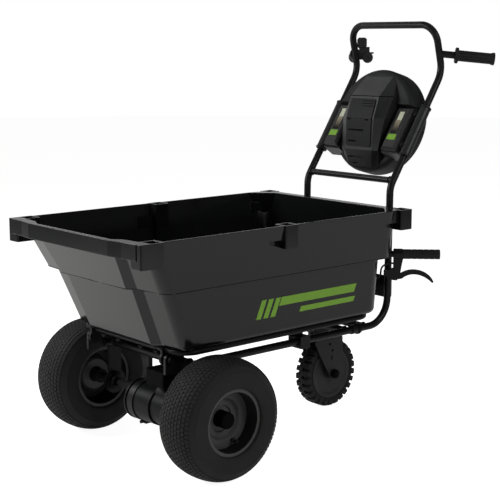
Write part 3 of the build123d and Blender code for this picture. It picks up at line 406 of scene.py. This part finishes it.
# %% Carcass
# distance from the wheel's middle plane and radius: tread, sidewall, bead, and back along the inside
half_section = [
    (0, 150.7), (12, 150.4), (24, 149.2), (36, 146.7), (46, 142.8), (54, 137.4), (59.5, 131), (62.6, 124.4),
    (63.5, 123.6), (64, 122), (63.8, 121.2), (64.8, 116), (65, 108), (64.6, 99), (64, 92.6), (62.8, 88),
    (60.8, 84.8), (58, 83.2), (54.3, 83), (54.3, 85.4), (49, 85.4), (49, 79), (40, 79), (40, 88),
    (51, 100), (55, 114), (52, 127), (44, 136), (25, 142), (0, 143.5),
]


def whole(half):
    """A section mirrored about the wheel's middle plane and closed, in the XZ plane."""
    mirrored = [(-x, r) for x, r in reversed(half[1:-1])]
    return [(x, 0, r) for x, r in half + mirrored + half[:1]]


carcass = spun("turf_carcass", whole(half_section), (1, 0, 0), 96)
print("carcass faces", len(carcass.data.polygons))

# %% Tread blocks
blocks_round, block_corners = 84, 8
block_size, block_taper = (9.6, 10.2, 10), (0.86, 0.84, 1)
crown_radius, row_pitch = 152.5, 10.2
half_pitch = pi / blocks_round
# rows beside the middle one: distance from it, radius, lean outwards in degrees
outer_rows = [(10.2, 152.2, 3), (20.4, 151.3, 7), (30.6, 149.6, 12), (40.8, 146.7, 20), (50.2, 142.2, 30)]
tread = start("cube", "tread", size=MM)
bpy.ops.object.mode_set(mode="EDIT")
bpy.ops.transform.resize(value=block_size)
pick(tread, "FACE", lambda face: face.normal.z > 0.9)
bpy.ops.transform.resize(value=block_taper)
bpy.ops.mesh.select_all(action="SELECT")
bpy.ops.transform.translate(value=(0, 0, (crown_radius - block_size[2] / 2) * MM))
for x, crown, tilt in [(s * x, crown, s * tilt) for x, crown, tilt in outer_rows for s in signs]:
    pick(tread, "VERT", lambda vert: vert.index < block_corners)
    shift = (x * MM, 0, (crown - crown_radius) * MM)
    bpy.ops.mesh.duplicate_move(TRANSFORM_OT_translate={"value": shift})
    # without a window a turn runs the other way, so a lean outwards is negative
    bpy.ops.transform.rotate(value=-radians(tilt), orient_axis="Y", center_override=(x * MM, 0, crown * MM))
    if round(abs(x) / row_pitch) % 2:
        bpy.ops.transform.rotate(value=half_pitch, orient_axis="X", center_override=(0, 0, 0))
spin_copies(blocks_round)
only(carcass, tread)
bpy.ops.object.join()
for side, s in reversed(both_sides):
    middle = Vector((s * wheel_out, axle_y, axle_z)) * MM
    tyre = twin(carcass, f"{side}_turf_tyre", Matrix.Translation(middle))
    done(tyre, f"{side}_wheel", "tyre_rubber", stands_for=[f"{side}_tyre"])
bpy.data.objects.remove(carcass)

# %% [markdown]
# ## Caster tyre
# The caster runs on a solid tyre with coarse lugs that reach over both shoulders and stand half a
# step apart from side to side. A low carcass is spun, one lug is modelled with a sloping outer end,
# turned over for the other side, and both are spun as copies. A fine groove is left beside the disc.

# %% Lugged caster tyre
caster_y, caster_z = 238.25, 99.0
low_section = [(0, 92.5), (10, 92.5), (17, 91), (21.6, 87.4), (23.5, 82), (23.6, 78.4), (22.6, 77),
               (20.6, 76.6), (20.6, 74), (0, 74)]
lugs = 26
lug_size, lug_taper, lug_slope = (27, 15.5, 17), (1, 0.86, 1), 6.5
lug_out, lug_depth = 11.4, 8.8
caster_tyre = spun("caster_lugged_tyre", whole(low_section), (1, 0, 0), 104)
lug = start("cube", "lug", size=MM)
bpy.ops.object.mode_set(mode="EDIT")
bpy.ops.transform.resize(value=lug_size)
pick(lug, "FACE", lambda face: face.normal.z > 0.9)
bpy.ops.transform.resize(value=lug_taper)
pick(lug, "EDGE", lambda edge: all(vert.co.x > 0 and vert.co.z > 0 for vert in edge.verts))
bpy.ops.mesh.bevel(offset=lug_slope * MM, segments=2)
bpy.ops.mesh.select_all(action="SELECT")
bpy.ops.transform.translate(value=(lug_out * MM, 0, (caster_z - lug_depth) * MM))
bpy.ops.mesh.duplicate_move(TRANSFORM_OT_translate={"value": (0, 0, 0)})
bpy.ops.transform.rotate(value=pi, orient_axis="Z", center_override=(0, 0, 0))
bpy.ops.transform.rotate(value=pi / lugs, orient_axis="X", center_override=(0, 0, 0))
spin_copies(lugs)
only(caster_tyre, lug)
bpy.ops.object.join()
caster_tyre.matrix_world = Matrix.Translation(Vector((0, caster_y, caster_z)) * MM)
done(caster_tyre, "caster_wheel", "tyre_rubber", stands_for=["caster_tyre"])

# %% [markdown]
# ## Axle caps
# Domed black caps cover the caster's axle bolt outside the fork, and the axle nut in each rim's dish.
# In the rims the caps are near-black as painted shade of the dish's deep centre.
# Half a dome's outline is drawn and spun, with the radius and the height of the place it is for.

# %% Caps of the caster and the wheels
fork_face, hub_face = 35, 2


def dome(radius, height):
    """A cap with a rounded end, standing on Z."""
    outline = [(0, -0.5), (radius, -0.5), (radius, height - 5), (radius - 0.6, height - 2.6),
               (radius - 2.6, height - 0.8), (radius - 6, height), (0, height)]
    return spun("cap", [(r, 0, z) for r, z in outline], (0, 0, 1), 40)


cap = dome(13, 13)
fork_places = [((s * fork_face, caster_y, caster_z), (s, 0, 0)) for s in signs]
set_out(cap, "caster_axle_caps", fork_places, "caster", "dark_steel", "matt_black_abs_and_painted_shade")
bpy.data.objects.remove(cap)
cap = dome(20.5, 33)
for side, s in both_sides:
    hub_place = ((s * (wheel_out + hub_face), axle_y, axle_z), (s, 0, 0))
    # painted shade: the near-black cap stands for the shade in the middle of the rim's dish
    set_out(cap, f"{side}_hub_cap", [hub_place], f"{side}_wheel", "dark_steel", "matt_black_abs_and_painted_shade")
bpy.data.objects.remove(cap)

# %% [markdown]
# ## Hand grips
# Each grip is a soft sleeve pushed over the tube's stub, with a thick flange that stops the thumb,
# flutes along the fingers' run and a flared, closed end. Its section is drawn from the closed end
# down the bore and back up over flange and body, then spun round the stub. Every fourth strip of
# the body's faces is inset and pushed in, which leaves a flute.

# %% Section and flutes of a grip
grip_length, grip_radius, grip_bore, grip_end = 112, 15.5, 10.0, 4
flute_from, flute_to = 14, 97
flute_inset, flute_depth = 0.3, 0.9
strips, strips_per_flute = 48, 4


def grip_section(flange):
    """Points of radius and height, for a flange of this radius."""
    bore_end = grip_length - grip_end
    return [(0, bore_end), (grip_bore, bore_end), (grip_bore, 0), (flange - 2, 0), (flange - 0.6, 0.8),
            (flange, 2.6), (flange, 6.4), (flange - 0.6, 8.2), (flange - 2, 9), (grip_radius + 0.6, 9.4),
            (grip_radius, 11), (grip_radius, flute_from), (grip_radius, flute_to), (grip_radius, 99.5),
            (grip_radius + 2.5, 106), (grip_radius + 2.5, 109.5), (grip_radius + 1, 111.4),
            (grip_radius - 3, grip_length), (0, grip_length)]


def fluted(face):
    """Whether a face is one of the body's strips that become flutes."""
    middle = face.calc_center_median()
    halfway = (flute_from + flute_to) / 2
    on_body = abs(middle.z - halfway * MM) < 1 * MM and middle.xy.length > (grip_radius - 1.5) * MM
    strip = int(atan2(middle.y, middle.x) % (2 * pi) / (2 * pi / strips))
    return on_body and strip % strips_per_flute == 0


print("grip section of", len(grip_section(grip_radius)), "points")

# %% Fluted grips
grip_foot, grip_axis = (195.969, 546.219, 1006.783), (0.7038, 0.7038, -0.0959)
flange_radius = {"left": 22.5, "right": 16.5}
for side, s in both_sides:
    section = [(r, 0, z) for r, z in grip_section(flange_radius[side])]
    grip = spun(f"{side}_fluted_grip", section, (0, 0, 1), strips)
    bpy.ops.object.mode_set(mode="EDIT")
    pick(grip, "FACE", fluted)
    bpy.ops.mesh.inset(thickness=flute_inset * MM)
    bpy.ops.transform.shrink_fatten(value=-flute_depth * MM)
    bpy.ops.object.mode_set(mode="OBJECT")
    grip.matrix_world = facing((s * grip_foot[0], *grip_foot[1:]), (s * grip_axis[0], *grip_axis[1:]))
    done(grip, "chassis", "soft_rubber", stands_for=[f"{side}_grip"])

# %% [markdown]
# ## Edge bead of the tub's step
# Where the tub widens, its moulding ends the upper wall in a small rolled edge that shows as a thin
# line of light round the tub. Its path is already in the CAD model: a copy of the tub is welded, its
# outer edges at the step are kept, and a round bevel along them gives the bead.

# %% Step bead
step_z, bead_radius = 472.0, 1.3
only(nodes["tub_shell"])
bpy.ops.object.duplicate(linked=False)
bead = bpy.context.object
bead.name = "tub_step_bead"
bpy.ops.object.mode_set(mode="EDIT")
bpy.ops.mesh.select_all(action="SELECT")
bpy.ops.mesh.remove_doubles(threshold=0.02 * MM)


def at_step(edge):
    """An edge of the step between its level underside and the wall above."""
    level = all(abs(vert.co.z - step_z * MM) < 0.3 * MM for vert in edge.verts)
    under = [face for face in edge.link_faces if face.normal.z < -0.95]
    wall = [face for face in edge.link_faces
            if abs(face.normal.z) < 0.6 and face.calc_center_median().z > step_z * MM]
    return level and under and wall


pick(bead, "EDGE", lambda edge: not at_step(edge))
bpy.ops.mesh.delete(type="EDGE")
bpy.ops.object.mode_set(mode="OBJECT")
print("step edges", len(bead.data.edges))
done(rounded(bead, bead_radius), "tub", "tub_plastic", angle=60)

# %% [markdown]
# ## Plain green stripes
# The tub's sides carry a flat colour print. A print is a film a fraction of a millimetre thick, so
# each bar starts as a plane, is slanted by moving its upper edge, and gets its thickness by
# extruding. A small matrix lays the bars on the sloping wall.

# %% One bar of the print
film_thickness, film_sunk, slant = 0.5, 0.1, 0.35


def stripe(u, v, length, height):
    """One slanted bar, its lower front corner at (u, v) on the wall, in millimetres."""
    bar = start("plane", "bar", size=MM)
    bpy.ops.object.mode_set(mode="EDIT")
    bpy.ops.transform.resize(value=(length, height, 1))
    bpy.ops.transform.translate(value=((u + length / 2) * MM, (v + height / 2) * MM, -film_sunk * MM))
    pick(bar, "EDGE", lambda edge: all(vert.co.y > (v + height / 2) * MM for vert in edge.verts))
    bpy.ops.transform.translate(value=(slant * height * MM, 0, 0))
    thicken(film_thickness)
    return bar


print("bars slant by", slant, "of their height")

# %% Stripes on both sides
# the tub's half width at its floor's height and at the step
floor_half, floor_z, step_half = 232.0, 317.0, 245.0
wall_lean = (step_half - floor_half) / (step_z - floor_z)
print_foot, print_front, print_length = 345.0, 148, 346
bars = [((0, 20), 16, 48), ((24, 20), 16, 48), ((48, 20), 16, 48), ((76, 46), 270, 22), ((148, 20), 198, 14)]
for side, s in both_sides:
    only(*[stripe(u, v, length, height) for (u, v), length, height in bars])
    bpy.ops.object.join()
    stripes = bpy.context.object
    stripes.name = f"{side}_green_stripes"
    along = Vector((0, s, 0))
    up = Vector((s * wall_lean, 0, 1)).normalized()
    first = print_front if s > 0 else print_front + print_length
    half_width = floor_half + (print_foot - floor_z) * wall_lean
    corner = Vector((s * half_width, axle_y + first, print_foot)) * MM
    basis = Matrix((along, up, along.cross(up))).transposed().to_4x4()
    stripes.matrix_world = Matrix.Translation(corner) @ basis
    done(stripes, "tub", "green_plastic")

# %% [markdown]
# ## Bolts
# Clamps, plates and bearings are held by hexagon bolts on washers. A six-sided cylinder gives the
# head; its upper face is inset and raised, as a pressed head is, and a second cylinder, added in edit
# mode, is the washer. One bolt is modelled and copied to every place, and the copies on one body are
# joined.

# %% One bolt
head_radius, head_height, head_middle = 7.2, 5.6, 4.2
washer_radius, washer_height, washer_middle = 9.2, 1.6, 0.6
washer_top = washer_middle + washer_height / 2
bolt = start("cylinder", "hex_bolt", vertices=6, radius=head_radius * MM, depth=head_height * MM,
             location=(0, 0, head_middle * MM))
bpy.ops.object.transform_apply(location=True)
bpy.ops.object.mode_set(mode="EDIT")
pick(bolt, "FACE", lambda face: face.normal.z > 0.9)
bpy.ops.mesh.inset(thickness=0.8 * MM)
bpy.ops.transform.translate(value=(0, 0, 0.5 * MM))
bpy.ops.mesh.primitive_cylinder_add(vertices=24, radius=washer_radius * MM, depth=washer_height * MM,
                                    location=(0, 0, washer_middle * MM))
pick(bolt, "EDGE", lambda edge: all(abs(vert.co.z - washer_top * MM) < 0.01 * MM
                                    and vert.co.xy.length > (head_radius + 0.8) * MM for vert in edge.verts))
bpy.ops.mesh.bevel(offset=0.4 * MM, segments=1)
bpy.ops.object.mode_set(mode="OBJECT")
print("bolt faces", len(bolt.data.polygons))

# %% Bolts at their places
lean_y, lean_z = 319.25, 646
lean_forth, lean_up = 0.55279, 0.83331
leaning, uphill = (0, -lean_up, lean_forth), (0, lean_forth, lean_up)


def on_lean(x, along, out):
    """Point of the plane in which the handle leans, in millimetres."""
    return (x, lean_y + lean_forth * along - lean_up * out, lean_z + lean_up * along + lean_forth * out)


def ring(middle, radius, degrees):
    """Y and Z of points on a circle round an axis along X."""
    return [(middle[0] + radius * cos(radians(d)), middle[1] + radius * sin(radians(d))) for d in degrees]


clamp_x, clamp_out, clamp_along = 149.5, 8, (129, 229)
brace_x, brace_y, brace_heights = 148, 331.75, (343, 379)
mount_x, rear_tubes_y, mount_z = 43, (154.25, 228.25), 246.5
bearing_x, bearing_ring = 145, ring((axle_y, axle_z), 20, (90, 210, 330))
motor_end_x, motor_ring = -42, ring((axle_y - 8, 136), 40, (45, 135, 225, 315))
cradle_xs, cradle_y, cradle_z = (-112, -48, 48, 112), axle_y - 66, 301.8
plate_y, plate_places = 247.25, ((84, 348), (84, 490), (166, 490))

clamp_bolts = [(on_lean(s * clamp_x, along, clamp_out), leaning) for s in signs for along in clamp_along]
brace_bolts = [((s * brace_x, brace_y, z), (0, 1, 0)) for s in signs for z in brace_heights]
mount_bolts = [((x, y, mount_z), (0, 0, -1)) for x in (-mount_x, mount_x) for y in rear_tubes_y]
bearing_bolts = [((s * bearing_x, y, z), (-s, 0, 0)) for s in signs for y, z in bearing_ring]
motor_bolts = [((motor_end_x, y, z), (-1, 0, 0)) for y, z in motor_ring]
chassis_places = clamp_bolts + brace_bolts + mount_bolts + bearing_bolts + motor_bolts
set_out(bolt, "chassis_bolts", chassis_places, "chassis", "dark_steel")
cradle_bolts = [((x, cradle_y, cradle_z), (0, 0, -1)) for x in cradle_xs]
plate_bolts = [((x, plate_y, z), (0, 1, 0)) for x, z in plate_places]
set_out(bolt, "tub_frame_bolts", cradle_bolts + plate_bolts, "tub", "dark_steel")
bpy.data.objects.remove(bolt)

# %% [markdown]
# ## Weld beads
# Cross-members are welded to the tubes. A weld is a ring of overlapping ripples, so a torus is the
# start: its vertices get a small seeded jitter, and one subdivision rounds the ripples off.

# %% Welds of the frame and the handle
rail_face, rail_z = 155.5, 262.5
post_face, crossbar_y, crossbar_z = 155, 329.2, 664


def weld(tube_radius):
    """One bead round a tube of this radius, about Z."""
    torus = start("torus", "weld", major_radius=(tube_radius + 0.6) * MM, minor_radius=2.2 * MM,
                  major_segments=36, minor_segments=6)
    bpy.ops.object.mode_set(mode="EDIT")
    bpy.ops.transform.vertex_random(offset=0.5 * MM, uniform=0.3, normal=0.7, seed=5)
    bpy.ops.mesh.subdivide(number_cuts=1, smoothness=0.6)
    bpy.ops.object.mode_set(mode="OBJECT")
    return torus


front_places = [((s * rail_face, axle_y, rail_z), (s, 0, 0)) for s in signs]
rear_places = [((s * rail_face, y, rail_z), (s, 0, 0)) for s in signs for y in rear_tubes_y]
crossbar_places = [((s * post_face, crossbar_y, crossbar_z), (s, 0, 0)) for s in signs]
for tube_radius, name, places in (
    (13, "front_cross_welds", front_places),
    (10, "rear_cross_welds", rear_places),
    (9, "crossbar_welds", crossbar_places),
):
    model = weld(tube_radius)
    set_out(model, name, places, "chassis", "coated_steel")
    bpy.data.objects.remove(model)

# %% [markdown]
# ## Rubber liners of the clamps
# Each clamp sleeve grips its tube through a rubber liner whose lip shows at both ends as a dark
# ring. One ring is spun from a small rounded section and copied to the four sleeve ends.

# %% Liner lips
post_x, sleeve_ends = 165, (99, 254)
lip = [(10.05, 0), (16.4, 0), (17.0, 0.8), (17.0, 4.2), (16.4, 5), (10.05, 5), (10.05, 0)]
liner = spun("liner", [(r, 0, z) for r, z in lip], (0, 0, 1), 36)
liner_places = [(on_lean(s * post_x, along, 0), uphill) for s in signs for along in sleeve_ends]
set_out(liner, "clamp_liners", liner_places, "chassis", "soft_rubber")
bpy.data.objects.remove(liner)

# %% [markdown]
# ## Battery packs
# A thin raised frame runs round the charge window of each pack, and a glossy strip fills the frame
# below the window. Both start as planes on the pack's face: the frame is inset and its middle is
# deleted, and both get their thickness by extruding.

# %% Pack frames and strips
pack_x, pack_face = 115, 26.9
frame_along, frame_size, frame_thickness, frame_margin = 191.5, (25, 76), 1.3, 2.2
lens_along, lens_size, lens_thickness = 176.5, (19, 42), 0.6
lean_basis = Matrix(((1, 0, 0), uphill, leaning)).transposed().to_4x4()
lean_place = Matrix.Translation(Vector((0, lean_y, lean_z)) * MM) @ lean_basis


def plate(name, middle, size, thickness, margin):
    """Rectangle on a pack's face, in millimetres: a plate, or a frame of that margin round a hole."""
    piece = start("plane", name, size=MM)
    bpy.ops.object.mode_set(mode="EDIT")
    bpy.ops.transform.resize(value=(size[0], size[1], 1))
    bpy.ops.transform.translate(value=(middle[0] * MM, middle[1] * MM, pack_face * MM))
    if margin:
        bpy.ops.mesh.inset(thickness=margin * MM)
        bpy.ops.mesh.delete(type="FACE")
    thicken(thickness)
    piece.matrix_world = lean_place
    return piece


for side, s in both_sides:
    border = plate(f"{side}_pack_frame", (s * pack_x, frame_along), frame_size, frame_thickness, frame_margin)
    done(border, f"{side}_pack", "pack_plastic", "grey_nylon_trim")
    lens = plate(f"{side}_pack_lens", (s * pack_x, lens_along), lens_size, lens_thickness, 0)
    done(lens, f"{side}_pack", "pack_plastic", "smoked_polycarbonate")

# %% [markdown]
# ## Housing trim
# The front panel has a fine dark grille at its upper end, two finger notches beside its middle and
# black mesh behind its vents. They are thin bars with softened edges, laid on the panel. Where the
# brow of the cover meets the panel's slope, the gap between them lies in shade, and a black rod laid
# along it from side to side is painted shade. A line of edges is made a curve, so that a round bevel
# gives it its thickness.

# %% Grille, finger notches and vents of the front panel
shell_y, shell_z = 452.26, 811.0
# the cover's outline from the side: height above the shell's centre, and how far it stands forward
cover_front = [(-123, 82), (-73, 91), (19, 87), (80, 65), (134, 4)]
on_panel, in_vent = 3, 1
slope, front = (0, -0.9407, 0.3393), (0, -1, 0)


def on_cover(x, rise, proud):
    """Point in front of the cover by a few millimetres, at a height above the shell's centre."""
    for (low, near), (high, far) in zip(cover_front, cover_front[1:]):
        if low <= rise <= high:
            forward = near + (far - near) * (rise - low) / (high - low)
            return (x, shell_y - forward - proud, shell_z + rise)


def trim_bar(length, height, thickness):
    """A small bar with softened edges, lying along X and facing Z."""
    bar = start("cube", "bar", size=MM)
    bpy.ops.object.mode_set(mode="EDIT")
    bpy.ops.transform.resize(value=(length, height, thickness))
    pick(bar, "EDGE", lambda edge: True)
    bpy.ops.mesh.bevel(offset=min(height, thickness) * 0.3 * MM, segments=2)
    bpy.ops.object.mode_set(mode="OBJECT")
    return bar


for name, size, places in (
    ("panel_grille", (46, 2.0, 1.0), [(on_cover(22, rise, on_panel), slope) for rise in (52, 59, 66)]),
    ("panel_finger_notches", (12, 5.0, 1.6), [(on_cover(x, 14, on_panel), front) for x in (-40, 30)]),
    ("panel_long_vent", (59.6, 4.4, 2.0), [(on_cover(-10, -17, in_vent), front)]),
    ("panel_short_vent", (31.6, 4.4, 2.0), [(on_cover(-24, -49, in_vent), front)]),
):
    model = trim_bar(*size)
    set_out(model, name, places, "chassis", "panel_plastic", "matt_black_abs_and_painted_shade")
    bpy.data.objects.remove(model)

# %% Painted shade of the seam under the brow
seam_rise, seam_radius = 80, 1.2
seam_corners = [(-81.5, 34), (-55.5, 65), (55.5, 65), (81.5, 34)]
# painted shade: a black rod stands for the shade in the gap under the brow
seam = drawn("cover_seam_shade", [(x, shell_y - forward, shell_z + seam_rise) for x, forward in seam_corners])
bpy.ops.object.mode_set(mode="OBJECT")
done(rounded(seam, seam_radius), "chassis", "panel_plastic", "matt_black_abs_and_painted_shade", angle=60)

# %% [markdown]
# ## Release cable
# The cable from the release lever to the latch is a stiff sheathed line that goes back into the
# cart at both ends. Its run is a smooth spline: the route's corner points are its control points,
# and a round bevel gives the sheath its thickness.

# %% Cable along its route
route = [(216.89, 281.14, 443.0), (192.85, 257.1, 443.0), (192.85, 257.1, 394.0), (96.0, 260.25, 394.0),
         (96.0, 260.25, 375.0)]
sheath_radius = 2.6
line = bpy.data.curves.new("release_cable_line", "CURVE")
line.dimensions = "3D"
spline = line.splines.new("NURBS")
spline.points.add(len(route) - 1)
for point, place in zip(spline.points, route):
    point.co = (*[c * MM for c in place], 1)
spline.order_u = 3
spline.use_endpoint_u = True
spline.resolution_u = 16
line.bevel_depth = sheath_radius * MM
line.bevel_resolution = 4
line.use_fill_caps = True
cable = bpy.data.objects.new("release_sheathed_cable", line)
bpy.context.collection.objects.link(cable)
cable.data.materials.append(finishes[slot_finish[node_slot["release_cable"]]])
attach(cable, "tub")
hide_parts("release_cable")
print("made", cable.name)

# %% [markdown]
# ## Stage, lamps and camera
# A studio picture on white needs a floor that reads as white without more light on the cart: its
# material gives a camera or glass ray white light of its own, and keeps some diffuse so the cart's
# shadow stays. Mirror rays get a pool of softer light round the cart, which fades out in a few metres.

# %% Floor
floor_white, pool_light, far_light = 0.93, 0.32, 0.05
# in metres, as the lamps and the camera are
pool_radius, pool_end, floor_radius = 2.6, 5.5, 14


def white_paper():
    """Matt paper with light of its own, which depends on the kind of ray and the distance from the cart."""
    sheet = bpy.data.materials.new("matt_white_paper")
    sheet.use_nodes = True
    tree = sheet.node_tree
    tree.nodes.remove(tree.nodes["Principled BSDF"])
    ray = add(tree, "ShaderNodeLightPath").outputs
    seen = add(tree, "ShaderNodeMath", {0: ray["Is Camera Ray"], 1: ray["Is Transmission Ray"]},
               operation="MAXIMUM").outputs[0]
    place = add(tree, "ShaderNodeTexCoord").outputs["Object"]
    away = add(tree, "ShaderNodeVectorMath", {0: place}, operation="LENGTH").outputs["Value"]
    pool = add(tree, "ShaderNodeMapRange", {"Value": away, "From Min": pool_radius, "From Max": pool_end,
                                            "To Min": pool_light, "To Max": far_light},
               interpolation_type="SMOOTHSTEP").outputs["Result"]
    mirrored = add(tree, "ShaderNodeMath", {0: ray["Is Glossy Ray"], 1: pool}, operation="MULTIPLY").outputs[0]
    own = add(tree, "ShaderNodeMath", {0: seen, 1: floor_white, 2: mirrored},
              operation="MULTIPLY_ADD").outputs[0]
    glow = add(tree, "ShaderNodeEmission", {"Color": (1, 1, 1, 1), "Strength": own}).outputs[0]
    matt = add(tree, "ShaderNodeBsdfDiffuse", {"Color": paint("#f4f4f2")}).outputs[0]
    both = add(tree, "ShaderNodeAddShader", {0: glow, 1: matt}).outputs[0]
    tree.links.new(both, tree.nodes["Material Output"].inputs["Surface"])
    return sheet


floor = start("circle", "studio_floor", vertices=64, radius=floor_radius, fill_type="NGON",
              location=(0, 0, -0.5 * MM))
floor.data.materials.append(white_paper())
print("floor ready")

# %% [markdown]
# The air of the studio is white at the horizon and dark above, as under a black ceiling. It lights the
# cart less than it shows. To the rear left a dark flag, met only by mirror rays, keeps the inside
# of the tub black.

# %% World
air_light, air_shown = 0.45, 1.0
ceiling_from, ceiling_to, ceiling_light = 0.04, 0.22, 0.10
flag_way, flag_edge, flag_core, flag_dark = (0.66, 0.75, 0), 0.80, 0.93, 0.9


def studio_air(tree):
    """Strength of the white air, by the kind of ray and by where it goes."""
    ray = add(tree, "ShaderNodeLightPath").outputs
    seen = add(tree, "ShaderNodeMath", {0: ray["Is Camera Ray"], 1: ray["Is Glossy Ray"]},
               operation="MAXIMUM").outputs[0]
    seen = add(tree, "ShaderNodeMath", {0: seen, 1: ray["Is Transmission Ray"]}, operation="MAXIMUM").outputs[0]
    level = add(tree, "ShaderNodeMapRange", {"Value": seen, "To Min": air_light, "To Max": air_shown})
    toward = add(tree, "ShaderNodeTexCoord").outputs["Generated"]
    height = add(tree, "ShaderNodeSeparateXYZ", {"Vector": toward}).outputs["Z"]
    ceiling = add(tree, "ShaderNodeMapRange", {"Value": height, "From Min": ceiling_from,
                                               "From Max": ceiling_to, "To Min": 1.0, "To Max": ceiling_light},
                  interpolation_type="SMOOTHSTEP")
    strength = add(tree, "ShaderNodeMath", {0: level.outputs["Result"], 1: ceiling.outputs["Result"]},
                   operation="MULTIPLY").outputs[0]
    flag_side = add(tree, "ShaderNodeVectorMath", {0: toward, 1: flag_way}, operation="DOT_PRODUCT")
    flag = add(tree, "ShaderNodeMapRange", {"Value": flag_side.outputs["Value"], "From Min": flag_edge,
                                            "From Max": flag_core, "To Min": 0.0, "To Max": flag_dark},
               interpolation_type="SMOOTHSTEP").outputs["Result"]
    hidden = add(tree, "ShaderNodeMath", {0: flag, 1: ray["Is Glossy Ray"]}, operation="MULTIPLY").outputs[0]
    left_over = add(tree, "ShaderNodeMath", {0: 1.0, 1: hidden}, operation="SUBTRACT").outputs[0]
    return add(tree, "ShaderNodeMath", {0: strength, 1: left_over}, operation="MULTIPLY").outputs[0]


world = bpy.data.worlds.new("studio_air")
bpy.context.scene.world = world
world.use_nodes = True
background = world.node_tree.nodes["Background"]
background.inputs["Color"].default_value = (1, 1, 1, 1)
world.node_tree.links.new(studio_air(world.node_tree), background.inputs["Strength"])
print("world ready")

# %% [markdown]
# Four large lamps give highlights and shadows their soft edges. In the picture the key lamp stands
# to the left, at the cart's front, and the side lamp to the right, beside the camera. Two weak ones
# fill in: one behind on the left for the handle, one above.

# %% Lamps
def softbox(name, place, aim, width, height, watts):
    """Area lamp at a place, turned towards the point it aims at, in metres."""
    bpy.ops.object.light_add(type="AREA", location=place)
    lamp = bpy.context.object
    lamp.name = name
    lamp.data.shape = "RECTANGLE"
    lamp.data.size = width
    lamp.data.size_y = height
    lamp.data.energy = watts
    lamp.rotation_euler = (Vector(aim) - Vector(place)).to_track_quat("-Z", "Y").to_euler()


softbox("key_softbox", (-1.3, -1.7, 1.5), (-0.5, -0.8, 0), 1.2, 1.0, 34)
softbox("side_softbox", (3.2, 0.6, 2.4), (0.2, 0, 0.4), 1.6, 1.6, 33)
softbox("left_softbox", (-2.3, 0.2, 3.0), (0, 0.45, 0.92), 1.3, 1.3, 8)
softbox("top_softbox", (0.3, -0.6, 3.6), (0, 0, 0.5), 2.2, 2.2, 8)

# %% Camera at the picture's angle
azimuth, elevation = radians(48.767), radians(9.745)
back = Vector((sin(azimuth) * cos(elevation), -cos(azimuth) * cos(elevation), sin(elevation)))
bpy.ops.object.camera_add(location=(2.4497, -2.2012, 1.0493))
camera = bpy.context.object
camera.rotation_euler = (-back).to_track_quat("-Z", "Y").to_euler()
camera.data.sensor_width = 36.0
camera.data.lens = 88.0
camera.data.clip_end = 100.0
bpy.context.scene.camera = camera
bpy.context.scene.view_settings.view_transform = "Standard"
print("camera", tuple(round(v, 3) for v in camera.location))
